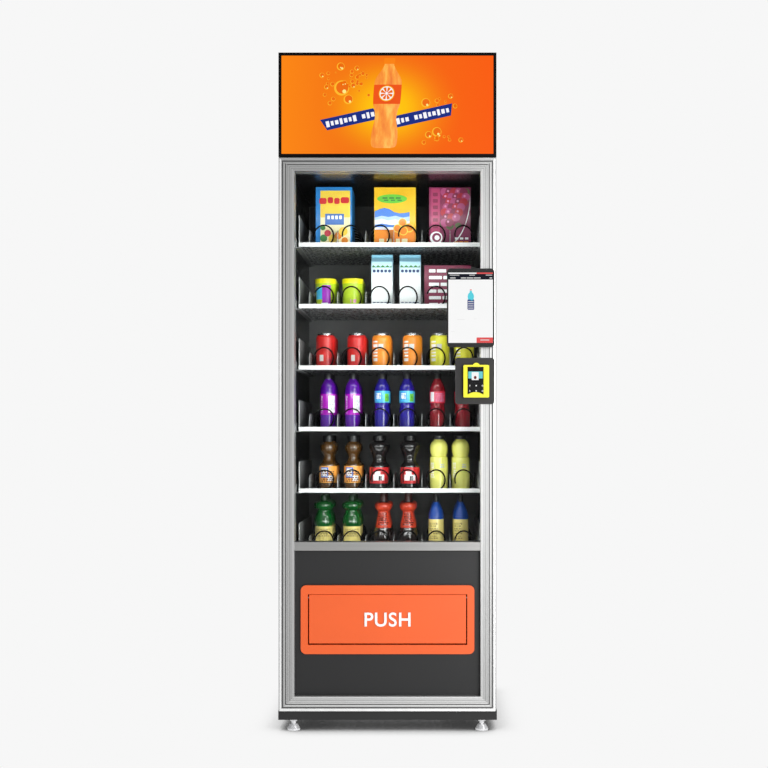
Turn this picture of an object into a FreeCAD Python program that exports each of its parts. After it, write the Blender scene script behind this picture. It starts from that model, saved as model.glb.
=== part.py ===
import FreeCAD, Part
import math
import os
import re
import Sketcher

os.makedirs("parts", exist_ok=True)

# Snack vending machine. Millimetres, +Z up, the front faces -Y, X = 0 on the centre line, Z = 0 on the floor.

SIZES = {
    # cabinet
    "cab_half": 345, "cab_front": -326, "cab_back": 415, "cab_top": 1820, "cab_wall": 30, "liner": 2,
    "deck_low": 235, "deck_top": 260,
    # plinth and feet
    "plinth_half": 347, "plinth_front": -372, "plinth_back": 405, "plinth_low": 35, "plinth_top": 63,
    "beam_side": 62, "beam_end": 50, "pan_thick": 3, "foot_side": 300, "foot_front": -350, "foot_rear": 370,
    "foot_disc": 20, "foot_rim": 5, "foot_dome": 19, "foot_stem": 7, "foot_nut": 11, "nut_height": 7,
    # header with its display
    "head_top": 2150, "head_front": -385, "head_back": -125, "head_sheet": 4, "bezel_wide": 9.5,
    "bezel_deep": 10, "screen_front": -383.5, "screen_back": -377, "box_wide": 180, "box_deep": 90,
    "box_high": 60, "box_back": -150,
    # door frame extrusions
    "door_half": 344, "door_low": 65, "door_top": 1817, "door_front": -385, "door_deep": 55,
    "stile_wide": 49, "sill_wide": 46, "lintel_wide": 42, "rib_deep": 0.9, "rib_wide": 1.2, "rib_first": 28,
    "rib_pitch": 5, "step_near": 8.5, "step_far": 14, "step_deep": 4, "slot_near": 20, "slot_far": 23.5,
    "slot_deep": 3, "hollow_near": 6, "hollow_far": 32, "hollow_front": 48, "hollow_back": 6,
    "rebate_wide": 5, "rebate_front": 32, "rebate_back": 20, "rebate_gap": 0.5,
    "mid_low": 572.5, "mid_high": 600.7, "mid_front": -381, "mid_deep": 47,
    # gasket
    "seal_side": 328, "seal_wide": 14, "seal_deep": 3.4, "seal_low": 262, "seal_high": 1812,
    # hinge
    "hinge_in": 14, "hinge_pin": 4, "hinge_play": 0.05, "hinge_reach": 30, "hinge_flange": 10,
    "flange_thick": 1.4,
    # lock
    "lock_height": 950, "lock_back": 17, "barrel_rad": 11, "barrel_long": 22, "cam_thick": 3, "cam_wide": 16,
    "cam_long": 34, "cam_gap": 0.4, "cam_slot_half": 3.5, "cam_slot_rise": 36, "cam_slot_drop": 11,
    "strike_deep": 15,
    # pick-up port
    "port_half": 256, "port_low": 268, "port_high": 446, "bezel_half": 275.5, "bezel_low": 244,
    "bezel_high": 462, "bezel_round": 17, "bezel_front": -374, "mouth_half": 253, "mouth_low": 273,
    "mouth_high": 434, "flap_half": 249.5, "flap_low": 277, "flap_high": 432.6, "flap_front": -371,
    "flap_deep": 9, "flap_edge": 1.5, "pin_rad": 2.5, "pin_play": 0.05, "pin_height": 423, "pin_half": 258,
    "pin_back": -366.5, "bin_half": 262, "bin_low": 263, "bin_high": 500, "bin_back": -165, "bin_sheet": 3,
    # tablet and card reader
    "tab_left": 188, "tab_right": 337, "tab_low": 1216, "tab_high": 1463, "tab_front": -415,
    "tab_deep": 16, "tab_round": 12, "tab_rim": 4, "tab_glass": 2, "arm_left": 302, "arm_right": 332,
    "arm_low": 1290, "arm_high": 1395, "plate_left": 214, "plate_right": 338, "plate_low": 1037,
    "plate_high": 1183, "plate_deep": 8, "plate_round": 9, "card_left": 240, "card_right": 321,
    "card_low": 1057.5, "card_high": 1160, "card_deep": 16, "card_round": 4, "bump_side": 280.5,
    "bump_height": 1154.5, "bump_rad": 12, "key_left": 251, "key_right": 305, "key_low": 1067,
    "key_high": 1154, "key_deep": 3,
    # trays and their spirals
    "tray_first": 1580, "tray_pitch": 204.5, "tray_front": -160, "tray_back": 340, "tray_half": 301,
    "lip_half": 302, "lip_high": 14, "lip_thick": 2, "pan_drop": 11.5, "pan_sheet": 1.5, "side_high": 89,
    "side_sheet": 1.5, "lane_first": -220.5, "lane_pitch": 93.8, "fence_high": 45, "fence_thick": 1.2,
    "fence_round": 30, "fence_front": -154, "shaft_hole": 7, "row_hole": 3, "row_pitch": 20, "row_drop": 20,
    "coil_rad": 30.5, "coil_bend": 6, "coil_pitch": 66.5, "coil_wire": 2.5, "coil_front": -148,
    "coil_height": 26.3, "hub_rad": 11, "hub_long": 12, "shaft_rad": 4, "shaft_long": 22,
    "motor_wide": 58, "motor_deep": 34,
    "motor_high": 46, "motor_front": 342, "motor_play": 0.05, "motor_round": 4, "bore_deep": 12,
    # runners and lights
    "rail_in": 296, "rail_foot": 3, "rail_gap": 0.6, "rail_up": 26, "rail_web": 3, "rail_front": -150,
    "rail_back": 370, "lamp_wide": 7, "lamp_deep": 10, "lamp_front": -322, "lamp_low": 620, "lamp_high": 1770,
    # cooling unit
    "can_rad": 76, "can_high": 150, "can_side": -150, "can_back": 90, "can_foot": 95, "can_plate": 4,
    "can_slope": 30, "can_crown": 24,
    "cond_left": -285, "cond_right": -45, "cond_front": -300, "cond_back": -250, "cond_low": 78,
    "cond_high": 222, "evap_left": -240, "evap_right": 240, "evap_front": 190, "evap_back": 350,
    "evap_low": 275, "evap_high": 500, "fin_thick": 1, "tube_rad": 5, "tube_proud": 12,
    "fan_side": -165, "fan_height": 150, "fan_rad": 66, "fan_hub": 16, "fan_front": -238, "fan_deep": 18,
    "blade_wide": 34, "blade_thick": 2, "fan_shaft": 3, "fan_rake": 22, "shaft_in": 20, "fan_bore": 24,
    "motor_can": 26, "motor_can_long": 34,
    "motor_can_front": -205, "bar_wide": 12, "bar_thick": 3, "bar_half": 72,
    # rear cover and mains inlet
    "cover_low": 66, "cover_high": 232, "cover_thick": 6, "cover_half": 312, "louvre_wide": 150,
    "louvre_high": 5, "louvre_pitch": 15, "louvre_low": 90, "inlet_side": 255, "inlet_height": 130,
    "inlet_half": 22, "inlet_rise": 15, "inlet_deep": 26, "socket_half": 13, "socket_rise": 8.5,
    "socket_deep": 18, "inlet_gap": 1,
}

LANES = 6
TRAYS = 6
DRIVEN_LANE = 2
COIL_TURNS = 7
FINS = 22
TUBE_ROWS = 4
BLADES = 5
LOUVRES = 8
ROW_HOLES = 28

# How far each spiral is turned about its own shaft, in degrees, tray by tray and lane by lane.
TIP_ANGLES = [
    [25, 350, 25, 350, 20, 350],
    [20, 355, 0, 5, 15, 0],
    [15, 10, 0, 5, 0, 5],
    [35, 10, 5, 0, 5, 355],
    [30, 5, 0, 355, 5, 340],
    [0, 5, 0, 5, 0, 345],
]

doc = FreeCAD.newDocument("vending_machine")
sheet = doc.addObject("Spreadsheet::Sheet", "dims")
for row, (alias, value) in enumerate(SIZES.items(), start=1):
    sheet.set(f"A{row}", alias)
    sheet.set(f"B{row}", str(value))
    sheet.setAlias(f"B{row}", alias)
doc.recompute()

nodes = []


def formula(words):
    """The expression for a formula written with bare size names."""
    return re.sub(r"[a-z]\w*", lambda name: "dims." + name.group(), str(words))


def bind(thing, field, words):
    thing.setExpression(field, formula(words))


def place(thing, side="0", depth="0", height="0"):
    """Bind where a thing stands: along X, Y and Z."""
    bind(thing, "Placement.Base.x", side)
    bind(thing, "Placement.Base.y", depth)
    bind(thing, "Placement.Base.z", height)
    return thing


def box(side, depth, height):
    """A box between a low and a high formula along each axis."""
    made = doc.addObject("Part::Box", "box")
    bind(made, "Length", f"({side[1]}) - ({side[0]})")
    bind(made, "Width", f"({depth[1]}) - ({depth[0]})")
    bind(made, "Height", f"({height[1]}) - ({height[0]})")
    return place(made, side[0], depth[0], height[0])


def rod(radius, length, side, depth, height, along):
    """A round bar from a point along one axis: X, Y or Z."""
    turns = {"X": FreeCAD.Rotation(FreeCAD.Vector(0, 1, 0), 90),
             "Y": FreeCAD.Rotation(FreeCAD.Vector(1, 0, 0), -90),
             "Z": FreeCAD.Rotation()}
    made = doc.addObject("Part::Cylinder", "rod")
    bind(made, "Radius", radius)
    bind(made, "Height", length)
    made.Placement = FreeCAD.Placement(FreeCAD.Vector(), turns[along])
    return place(made, side, depth, height)


def mirrored(low, high):
    """The same span on the left and on the right of the centre line."""
    return [(low, high), (f"-({high})", f"-({low})")]


def copy_of(master, side="0", depth="0", height="0", rotation=None):
    """A linked copy of a master piece."""
    link = doc.addObject("App::Link", "copy")
    link.LinkedObject = master
    if rotation:
        link.Placement = FreeCAD.Placement(FreeCAD.Vector(), rotation)
    return place(link, side, depth, height)


def group(label, pieces):
    """One node made of separate solids."""
    made = doc.addObject("Part::Compound", label)
    made.Links = pieces
    return finish(made, label)


def finish(thing, label):
    thing.Label = label
    nodes.append(thing)
    return thing


def fuse(pieces):
    made = doc.addObject("Part::MultiFuse", "fused")
    made.Shapes = pieces
    made.Refine = False
    return made


def cut(base, tool):
    made = doc.addObject("Part::Cut", "cut")
    made.Base = base
    made.Tool = tool
    return made


# Sketches and the features that use them

def new_body(name, side="0", depth="0", height="0"):
    return place(doc.addObject("PartDesign::Body", name), side, depth, height)


def sketch_on(body, plane):
    """An empty sketch on one of the body's own origin planes."""
    sketch = body.newObject("Sketcher::SketchObject", "sketch")
    support = [face for face in body.Origin.OriginFeatures if face.Role == plane][0]
    sketch.AttachmentSupport = (support, [""])
    sketch.MapMode = "FlatFace"
    return sketch


def add_outline(sketch, corners):
    """A closed run of straight lines whose corners are bound to the sheet."""
    count = len(corners)
    first = sketch.GeometryCount
    turn = 2 * math.pi / count
    start = [FreeCAD.Vector(100 * math.cos(turn * k), 100 * math.sin(turn * k), 0) for k in range(count)]
    for k in range(count):
        sketch.addGeometry(Part.LineSegment(start[k], start[(k + 1) % count]), False)
    for k in range(count):
        sketch.addConstraint(Sketcher.Constraint("Coincident", first + k, 2, first + (k + 1) % count, 1))
    for k, corner in enumerate(corners):
        held = (("DistanceX", start[k].x, corner[0]), ("DistanceY", start[k].y, corner[1]))
        for kind, value, words in held:
            index = sketch.addConstraint(Sketcher.Constraint(kind, -1, 1, first + k, 1, value))
            bind(sketch, f"Constraints[{index}]", words)
    return sketch


def add_rectangle(sketch, across, up):
    left, right = across
    low, high = up
    return add_outline(sketch, [(left, low), (right, low), (right, high), (left, high)])


def add_circle(sketch, across, up, radius):
    index = sketch.addGeometry(Part.Circle(FreeCAD.Vector(1, 1, 0), FreeCAD.Vector(0, 0, 1), 1), False)
    for kind, words in (("DistanceX", across), ("DistanceY", up)):
        place_at = sketch.addConstraint(Sketcher.Constraint(kind, -1, 1, index, 3, 1.0))
        bind(sketch, f"Constraints[{place_at}]", words)
    size_at = sketch.addConstraint(Sketcher.Constraint("Radius", index, 1.0))
    bind(sketch, f"Constraints[{size_at}]", radius)
    return sketch


def pad(body, sketch, length, both=False, back=False):
    made = body.newObject("PartDesign::Pad", "pad")
    made.Profile = sketch
    bind(made, "Length", length)
    made.Midplane = both
    made.Reversed = back
    sketch.Visibility = False
    return made


def pocket(body, sketch, length=None, both=False, back=False):
    """Cut a sketch to a depth, or right through when no depth is given."""
    made = body.newObject("PartDesign::Pocket", "pocket")
    made.Profile = sketch
    if length is None:
        made.Type = "ThroughAll"
    else:
        bind(made, "Length", length)
    made.Midplane = both
    made.Reversed = back
    return made


def spin(body, sketch):
    """Turn a half outline about the body's own Z axis."""
    made = body.newObject("PartDesign::Revolution", "spin")
    made.Profile = sketch
    made.ReferenceAxis = (sketch, ["V_Axis"])
    made.Angle = 360
    return made


def round_edges(body, radius, chosen):
    """Fillet the body's edges for which chosen(edge) is true."""
    doc.recompute()
    tip = body.Tip
    names = [f"Edge{k}" for k, edge in enumerate(tip.Shape.Edges, start=1) if chosen(edge)]
    made = body.newObject("PartDesign::Fillet", "rounding")
    made.Base = (tip, names)
    bind(made, "Radius", radius)
    return made


def runs_along(axis):
    """A test for straight edges along one axis."""
    def test(edge):
        if edge.Curve.TypeId != "Part::GeomLine":
            return False
        return abs(edge.tangentAt(edge.FirstParameter).dot(axis)) > 0.999
    return test


ALONG_X = runs_along(FreeCAD.Vector(1, 0, 0))
ALONG_Y = runs_along(FreeCAD.Vector(0, 1, 0))
ALONG_Z = runs_along(FreeCAD.Vector(0, 0, 1))


def front_plate(name, back, across, up, deep):
    """A rectangular plate that stands upright, from its rear plane towards the front."""
    body = new_body(name, depth=back)
    pad(body, add_rectangle(sketch_on(body, "XZ_Plane"), across, up), deep)
    return body


# Cabinet

def cabinet_shell():
    """Foam-filled steel casing, with a strike pocket for the lock in its right side."""
    sides = []
    for span in mirrored("cab_half - cab_wall", "cab_half"):
        sides.append(box(span, ("cab_front", "cab_back"), ("plinth_top", "cab_top")))
    inner = ("cab_wall - cab_half", "cab_half - cab_wall")
    top = box(inner, ("cab_front", "cab_back"), ("cab_top - cab_wall", "cab_top"))
    rear = box(inner, ("cab_back - cab_wall", "cab_back"), ("deck_low", "cab_top - cab_wall"))
    middle = "door_half - barrel_long - cam_gap - cam_thick / 2"
    strike = box((f"{middle} - cam_slot_half", f"{middle} + cam_slot_half"),
                 ("cab_front - 1", "cab_front + strike_deep"),
                 ("lock_height - cam_slot_drop", "lock_height + cam_slot_rise"))
    group("cabinet_shell", [cut(sides[0], strike), sides[1], top, rear])


def insulated_floor():
    """The deck between the chilled space and the machine compartment."""
    inner = ("cab_wall - cab_half", "cab_half - cab_wall")
    finish(box(inner, ("cab_front", "cab_back - cab_wall"), ("deck_low", "deck_top")), "insulated_floor")


def inner_liner():
    """Thin white sheet lining of the chilled space: two sides, rear and ceiling."""
    rear_face = "cab_back - cab_wall"
    roof = "cab_top - cab_wall"
    sides = [box(span, ("cab_front", rear_face), ("deck_top", roof))
             for span in mirrored("cab_half - cab_wall - liner", "cab_half - cab_wall")]
    inner = ("cab_wall + liner - cab_half", "cab_half - cab_wall - liner")
    rear = box(inner, (f"{rear_face} - liner", rear_face), ("deck_top", f"{roof} - liner"))
    ceiling = box(inner, ("cab_front", rear_face), (f"{roof} - liner", roof))
    group("inner_liner", sides + [rear, ceiling])


def base_plinth():
    """Four beams and the floor pan of the machine compartment."""
    depth = ("plinth_front", "plinth_back")
    beams = [box(span, depth, ("plinth_low", "plinth_top"))
             for span in mirrored("plinth_half - beam_side", "plinth_half")]
    inner = ("beam_side - plinth_half", "plinth_half - beam_side")
    beams.append(box(inner, ("plinth_front", "plinth_front + beam_end"), ("plinth_low", "plinth_top")))
    beams.append(box(inner, ("plinth_back - beam_end", "plinth_back"), ("plinth_low", "plinth_top")))
    pan = box(inner, ("plinth_front + beam_end", "plinth_back - beam_end"),
              ("plinth_top - pan_thick", "plinth_top"))
    group("base_plinth", beams + [pan])


def levelling_feet():
    """A domed disc with a threaded stem and a lock nut, at each corner."""
    foot = new_body("foot")
    outline = [("0", "0"), ("foot_disc", "0"), ("foot_disc", "foot_rim"), ("foot_stem + 5", "foot_dome"),
               ("foot_stem", "foot_dome"), ("foot_stem", "plinth_low - nut_height"),
               ("foot_nut", "plinth_low - nut_height"), ("foot_nut", "plinth_low"), ("0", "plinth_low")]
    spin(foot, add_outline(sketch_on(foot, "XZ_Plane"), outline))
    feet = []
    for side in ("-foot_side", "foot_side"):
        for depth in ("foot_front", "foot_rear"):
            feet.append(copy_of(foot, side, depth))
    group("levelling_feet", feet)


def header_housing():
    """Steel box above the door with a black frame round its display."""
    depth = ("head_front + bezel_deep", "head_back")
    low = "cab_top"
    panels = [box(span, depth, (low, "head_top"))
              for span in mirrored("cab_half - head_sheet", "cab_half")]
    inner = ("head_sheet - cab_half", "cab_half - head_sheet")
    panels.append(box(inner, depth, (low, f"{low} + head_sheet")))
    panels.append(box(inner, depth, ("head_top - head_sheet", "head_top")))
    panels.append(box(inner, ("head_back - head_sheet", "head_back"),
                      (f"{low} + head_sheet", "head_top - head_sheet")))
    front = ("head_front", "head_front + bezel_deep")
    for span in mirrored("cab_half - bezel_wide", "cab_half"):
        panels.append(box(span, front, (low, "head_top")))
    middle = ("bezel_wide - cab_half", "cab_half - bezel_wide")
    panels.append(box(middle, front, (low, f"{low} + bezel_wide")))
    panels.append(box(middle, front, ("head_top - bezel_wide", "head_top")))
    group("header_housing", panels)


def header_display():
    across = ("bezel_wide - cab_half", "cab_half - bezel_wide")
    up = ("cab_top + bezel_wide", "head_top - bezel_wide")
    finish(front_plate("display", "screen_back", across, up, "screen_back - screen_front"), "header_display")


def control_box():
    """Vend controller and power supply on the header's floor."""
    floor = "cab_top + head_sheet"
    body = new_body("controller", depth="box_back")
    pad(body, add_rectangle(sketch_on(body, "XZ_Plane"), ("-box_wide", "box_wide"),
                            (floor, f"{floor} + box_high")), "box_deep")
    round_edges(body, "3", ALONG_Y)
    finish(body, "control_box")


def tray_runners():
    """A ledge with an upright web for each end of each tray."""
    pieces = []
    for tray in range(TRAYS):
        ledge = f"tray_first - {tray} * tray_pitch - pan_drop - pan_sheet - rail_gap"
        for span in mirrored("rail_in", "cab_half - cab_wall - liner"):
            pieces.append(box(span, ("rail_front", "rail_back"), (f"{ledge} - rail_foot", ledge)))
        web_out = "cab_half - cab_wall - liner"
        for span in mirrored(f"{web_out} - rail_web", web_out):
            pieces.append(box(span, ("rail_front", "rail_back"), (ledge, f"{ledge} + rail_up")))
    group("tray_runners", pieces)


def led_strips():
    """An upright light bar on each side of the chilled space, just behind the door."""
    out = "cab_half - cab_wall - liner"
    bars = [box(span, ("lamp_front", "lamp_front + lamp_deep"), ("lamp_low", "lamp_high"))
            for span in mirrored(f"{out} - lamp_wide", out)]
    group("led_strips", bars)


# Cooling unit

def compressor():
    body = new_body("can", "can_side", "can_back", "plinth_top")
    outline = [("0", "0"), ("can_foot", "0"), ("can_foot", "can_plate"), ("can_rad", "can_plate"),
               ("can_rad", "can_high - can_slope"), ("can_rad - can_crown", "can_high"), ("0", "can_high")]
    spin(body, add_outline(sketch_on(body, "XZ_Plane"), outline))
    finish(body, "compressor")


def finned_coil(label, span):
    """Upright fins threaded on rows of tubes that run along X."""
    pieces = []
    wide = f"(({span}_right) - ({span}_left))"
    for fin in range(FINS):
        at = f"{span}_left + {fin} * {wide} / {FINS - 1} - {fin} * fin_thick / {FINS - 1}"
        pieces.append(box((at, f"{at} + fin_thick"), (f"{span}_front", f"{span}_back"),
                          (f"{span}_low", f"{span}_high")))
    for tube in range(TUBE_ROWS):
        height = f"{span}_low + {tube + 0.5} * ({span}_high - {span}_low) / {TUBE_ROWS}"
        pieces.append(rod("tube_rad", f"{wide} + 2 * tube_proud", f"{span}_left - tube_proud",
                          f"({span}_front + {span}_back) / 2", height, "X"))
    finish(fuse(pieces), label)


def fan_blade():
    """Hub, shaft and raked blades; the shaft runs in the motor."""
    hub = rod("fan_hub", "fan_deep", "fan_side", "fan_front", "fan_height", "Y")
    shaft = rod("fan_shaft", "motor_can_front + shaft_in - fan_front - fan_deep", "fan_side",
                "fan_front + fan_deep", "fan_height", "Y")
    pieces = [hub, shaft]
    axis = FreeCAD.Vector(0, 1, 0)
    for number in range(BLADES):
        blade = doc.addObject("Part::Box", "blade")
        bind(blade, "Length", "blade_wide")
        bind(blade, "Width", "blade_thick")
        bind(blade, "Height", "fan_rad - fan_hub / 2")
        rake = FreeCAD.Rotation(FreeCAD.Vector(0, 0, 1), SIZES["fan_rake"])
        root = FreeCAD.Vector(-SIZES["blade_wide"] / 2, -SIZES["blade_thick"] / 2, SIZES["fan_hub"] / 2)
        blade.Placement = FreeCAD.Placement(rake.multVec(root), rake)
        turned = doc.addObject("Part::Compound", "turned_blade")
        turned.Links = [blade]
        turn = FreeCAD.Rotation(axis, 360 * number / BLADES)
        turned.Placement = FreeCAD.Placement(FreeCAD.Vector(), turn)
        pieces.append(place(turned, "fan_side", "fan_front + fan_deep / 2", "fan_height"))
    finish(fuse(pieces), "fan_blade")


def fan_motor():
    """Motor can on a cross of two bars, with a bearing bore for the fan's shaft."""
    can = rod("motor_can", "motor_can_long", "fan_side", "motor_can_front", "fan_height", "Y")
    back = "motor_can_front + motor_can_long"
    bars = [box(("fan_side - bar_half", "fan_side + bar_half"), (back, f"{back} + bar_thick"),
                ("fan_height - bar_wide / 2", "fan_height + bar_wide / 2")),
            box(("fan_side - bar_wide / 2", "fan_side + bar_wide / 2"), (back, f"{back} + bar_thick"),
                ("plinth_top", "fan_height + bar_half"))]
    bore = rod("fan_shaft + motor_play", "fan_bore", "fan_side", "motor_can_front - 1", "fan_height", "Y")
    finish(cut(fuse([can] + bars), bore), "fan_motor")


def rear_cover():
    """Louvred cover over the machine compartment, with a cut-out for the mains inlet."""
    body = front_plate("cover", "cab_back", ("-cover_half", "cover_half"), ("cover_low", "cover_high"),
                       "cover_thick")
    inlet = sketch_on(body, "XZ_Plane")
    add_rectangle(inlet, ("inlet_side - inlet_half", "inlet_side + inlet_half"),
                  ("inlet_height - inlet_rise", "inlet_height + inlet_rise"))
    pocket(body, inlet, both=True)
    first = sketch_on(body, "XZ_Plane")
    add_rectangle(first, ("-louvre_wide", "louvre_wide"), ("louvre_low", "louvre_low + louvre_high"))
    slot = pocket(body, first, both=True)
    body.Tip = slot
    rows = body.newObject("PartDesign::LinearPattern", "louvres")
    rows.Originals = [slot]
    rows.Direction = (first, ["V_Axis"])
    bind(rows, "Length", f"louvre_pitch * {LOUVRES - 1}")
    rows.Occurrences = LOUVRES
    body.Tip = rows
    finish(body, "rear_cover")


def power_inlet():
    """Mains inlet with a recess for a plug."""
    reach = "inlet_half - inlet_gap"
    rise = "inlet_rise - inlet_gap"
    body = front_plate("inlet", "cab_back", (f"inlet_side - ({reach})", f"inlet_side + ({reach})"),
                       (f"inlet_height - ({rise})", f"inlet_height + ({rise})"), "inlet_deep")
    socket = sketch_on(body, "XZ_Plane")
    add_rectangle(socket, ("inlet_side - socket_half", "inlet_side + socket_half"),
                  ("inlet_height - socket_rise", "inlet_height + socket_rise"))
    pocket(body, socket, "socket_deep", back=True)
    finish(body, "power_inlet")


# Door

def frame_member(name, corners, profile_plane, edge, inward, width):
    """One mitred, hollow, grooved extrusion. Its width runs from the outer edge inwards."""
    body = new_body(name, depth="door_front + door_deep")
    pad(body, add_outline(sketch_on(body, "XZ_Plane"), corners), "door_deep")
    profile = sketch_on(body, profile_plane)

    def trench(near, far, front, back):
        span = (f"{edge} + {inward} * ({near})", f"{edge} + {inward} * ({far})")
        depth = (f"-({front})", f"-({back})")
        if profile_plane == "XY_Plane":
            add_rectangle(profile, span, depth)
        else:
            add_rectangle(profile, depth, span)

    trench("step_near", "step_far", "door_deep + 1", "door_deep - step_deep")
    trench("slot_near", "slot_far", "door_deep + 1", "door_deep - slot_deep")
    for rib in range(3):
        near = f"rib_first + {rib} * rib_pitch"
        trench(near, f"{near} + rib_wide", "door_deep + 1", "door_deep - rib_deep")
    trench("hollow_near", "hollow_far", "hollow_front", "hollow_back")
    trench(f"{width} - rebate_wide", f"{width} + 1", "rebate_front", "rebate_back")
    pocket(body, profile, both=True)
    return body


def hinge_hole(body):
    """The round hole in a rail's outer wall that turns on the hinge pin."""
    hole = sketch_on(body, "XY_Plane")
    add_circle(hole, "hinge_in - door_half", "(hollow_front + hollow_back) / -2", "hinge_pin + hinge_play")
    pocket(body, hole, both=True)
    return body


def door_frame():
    out_left = "-door_half"
    out_right = "door_half"
    in_left = "stile_wide - door_half"
    in_right = "door_half - stile_wide"
    low_in = "door_low + sill_wide"
    high_in = "door_top - lintel_wide"
    left = [(out_left, "door_low"), (in_left, low_in), (in_left, high_in), (out_left, "door_top")]
    right = [(out_right, "door_low"), (out_right, "door_top"), (in_right, high_in), (in_right, low_in)]
    sill = [(out_left, "door_low"), (out_right, "door_low"), (in_right, low_in), (in_left, low_in)]
    lintel = [(out_left, "door_top"), (in_left, high_in), (in_right, high_in), (out_right, "door_top")]
    finish(frame_member("left_stile", left, "XY_Plane", out_left, 1, "stile_wide"), "door_stile_left")
    latch_side = frame_member("right_stile", right, "XY_Plane", out_right, -1, "stile_wide")
    finish(cut(latch_side, lock_openings()), "door_stile_right")
    bottom = frame_member("sill", sill, "YZ_Plane", "door_low", 1, "sill_wide")
    finish(hinge_hole(bottom), "door_rail_bottom")
    top = frame_member("lintel", lintel, "YZ_Plane", "door_top", -1, "lintel_wide")
    finish(hinge_hole(top), "door_rail_top")


def lock_openings():
    """The round seat of the lock barrel and the slot that the cam turns out through, past the gasket."""
    back = "door_front + door_deep"
    seat = rod("barrel_rad", "hollow_near + 2", "door_half - hollow_near - 1", f"{back} - lock_back",
               "lock_height", "X")
    middle = "door_half - barrel_long - cam_gap - cam_thick / 2"
    slot = box((f"{middle} - cam_slot_half", f"{middle} + cam_slot_half"),
               (f"{back} - hollow_back - 1", f"{back} + seal_deep + 1"),
               ("lock_height - cam_slot_drop", "lock_height + cam_slot_rise"))
    return fuse([seat, slot])


def door_mid_rail():
    inner = ("stile_wide - door_half", "door_half - stile_wide")
    body = front_plate("mid_rail", "mid_front + mid_deep", inner, ("mid_low", "mid_high"), "mid_deep")
    round_edges(body, "1.5", lambda edge: ALONG_X(edge) and edge.CenterOfMass.y < -1)
    finish(body, "door_mid_rail")


def rebate_pane(name, low, high):
    """A pane that fills the frame's rebate from side to side."""
    reach = "door_half - stile_wide + rebate_wide - rebate_gap"
    return front_plate(name, "door_front + door_deep - rebate_back", (f"-({reach})", reach), (low, high),
                       "rebate_front - rebate_back")


def door_glass():
    top = "door_top - lintel_wide + rebate_wide - rebate_gap"
    finish(rebate_pane("pane", "mid_high", top), "door_glass")


def door_lower_panel():
    """Dark insulated panel with the opening of the pick-up port."""
    low = "door_low + sill_wide - rebate_wide + rebate_gap"
    body = rebate_pane("panel", low, "mid_low")
    port = sketch_on(body, "XZ_Plane")
    add_rectangle(port, ("-port_half", "port_half"), ("port_low", "port_high"))
    pocket(body, port, both=True)
    finish(body, "door_lower_panel")


def door_gasket():
    """Soft magnetic seal on the door's rear face, slotted where the lock's cam passes."""
    back = "door_front + door_deep"
    depth = (back, f"{back} + seal_deep")
    strips = [box(span, depth, ("seal_low", "seal_high"))
              for span in mirrored("seal_side - seal_wide", "seal_side")]
    strips[0] = cut(strips[0], lock_openings())
    inner = ("seal_wide - seal_side", "seal_side - seal_wide")
    strips.append(box(inner, depth, ("seal_high - seal_wide", "seal_high")))
    return group("door_gasket", strips)


def pickup_bezel():
    """Rounded frame round the pick-up mouth, drilled for the flap's pin."""
    body = front_plate("mouth", "door_front + door_deep - rebate_front", ("-bezel_half", "bezel_half"),
                       ("bezel_low", "bezel_high"), "door_front + door_deep - rebate_front - bezel_front")
    round_edges(body, "bezel_round", ALONG_Y)
    mouth = sketch_on(body, "XZ_Plane")
    add_rectangle(mouth, ("-mouth_half", "mouth_half"), ("mouth_low", "mouth_high"))
    pocket(body, mouth, both=True)
    pin = sketch_on(body, "YZ_Plane")
    add_circle(pin, "pin_back - (door_front + door_deep - rebate_front)", "pin_height", "pin_rad + pin_play")
    pocket(body, pin, "2 * pin_half", both=True)
    finish(body, "pickup_bezel")


def pickup_flap():
    """Push flap hung from a pin near its upper edge."""
    body = front_plate("flap", "flap_front + flap_deep", ("-flap_half", "flap_half"),
                       ("flap_low", "flap_high"), "flap_deep")
    round_edges(body, "flap_edge", lambda edge: not ALONG_Y(edge) and edge.CenterOfMass.y < -0.5)
    bore = sketch_on(body, "YZ_Plane")
    add_circle(bore, "pin_back - flap_front - flap_deep", "pin_height", "pin_rad + pin_play")
    pocket(body, bore, both=True)
    finish(body, "pickup_flap")


def flap_pin():
    finish(rod("pin_rad", "2 * pin_half", "-pin_half", "pin_back", "pin_height", "X"), "flap_pin")


def pickup_bin():
    """Open-topped bin behind the flap."""
    front = "door_front + door_deep - rebate_back"
    across = ("-bin_half", "bin_half")
    up = ("bin_low + bin_sheet", "bin_high")
    panels = [box(across, (front, "bin_back"), ("bin_low", "bin_low + bin_sheet"))]
    panels.append(box(across, ("bin_back - bin_sheet", "bin_back"), up))
    for span in mirrored("bin_half - bin_sheet", "bin_half"):
        panels.append(box(span, (front, "bin_back - bin_sheet"), up))
    group("pickup_bin", panels)


def hinge_pins():
    """A flanged pin up from the plinth and one down from the header's floor."""
    pins = []
    for end, turn in (("plinth_top", 0), ("cab_top", 180)):
        pin = new_body("hinge_pin")
        outline = [("0", "0"), ("hinge_flange", "0"), ("hinge_flange", "flange_thick"),
                   ("hinge_pin", "flange_thick"), ("hinge_pin", "hinge_reach"), ("0", "hinge_reach")]
        spin(pin, add_outline(sketch_on(pin, "XZ_Plane"), outline))
        pin.Placement = FreeCAD.Placement(FreeCAD.Vector(), FreeCAD.Rotation(FreeCAD.Vector(1, 0, 0), turn))
        middle = "door_front + door_deep - (hollow_front + hollow_back) / 2"
        pins.append(place(pin, "hinge_in - door_half", middle, end))
    group("hinge_pins", pins)


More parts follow.
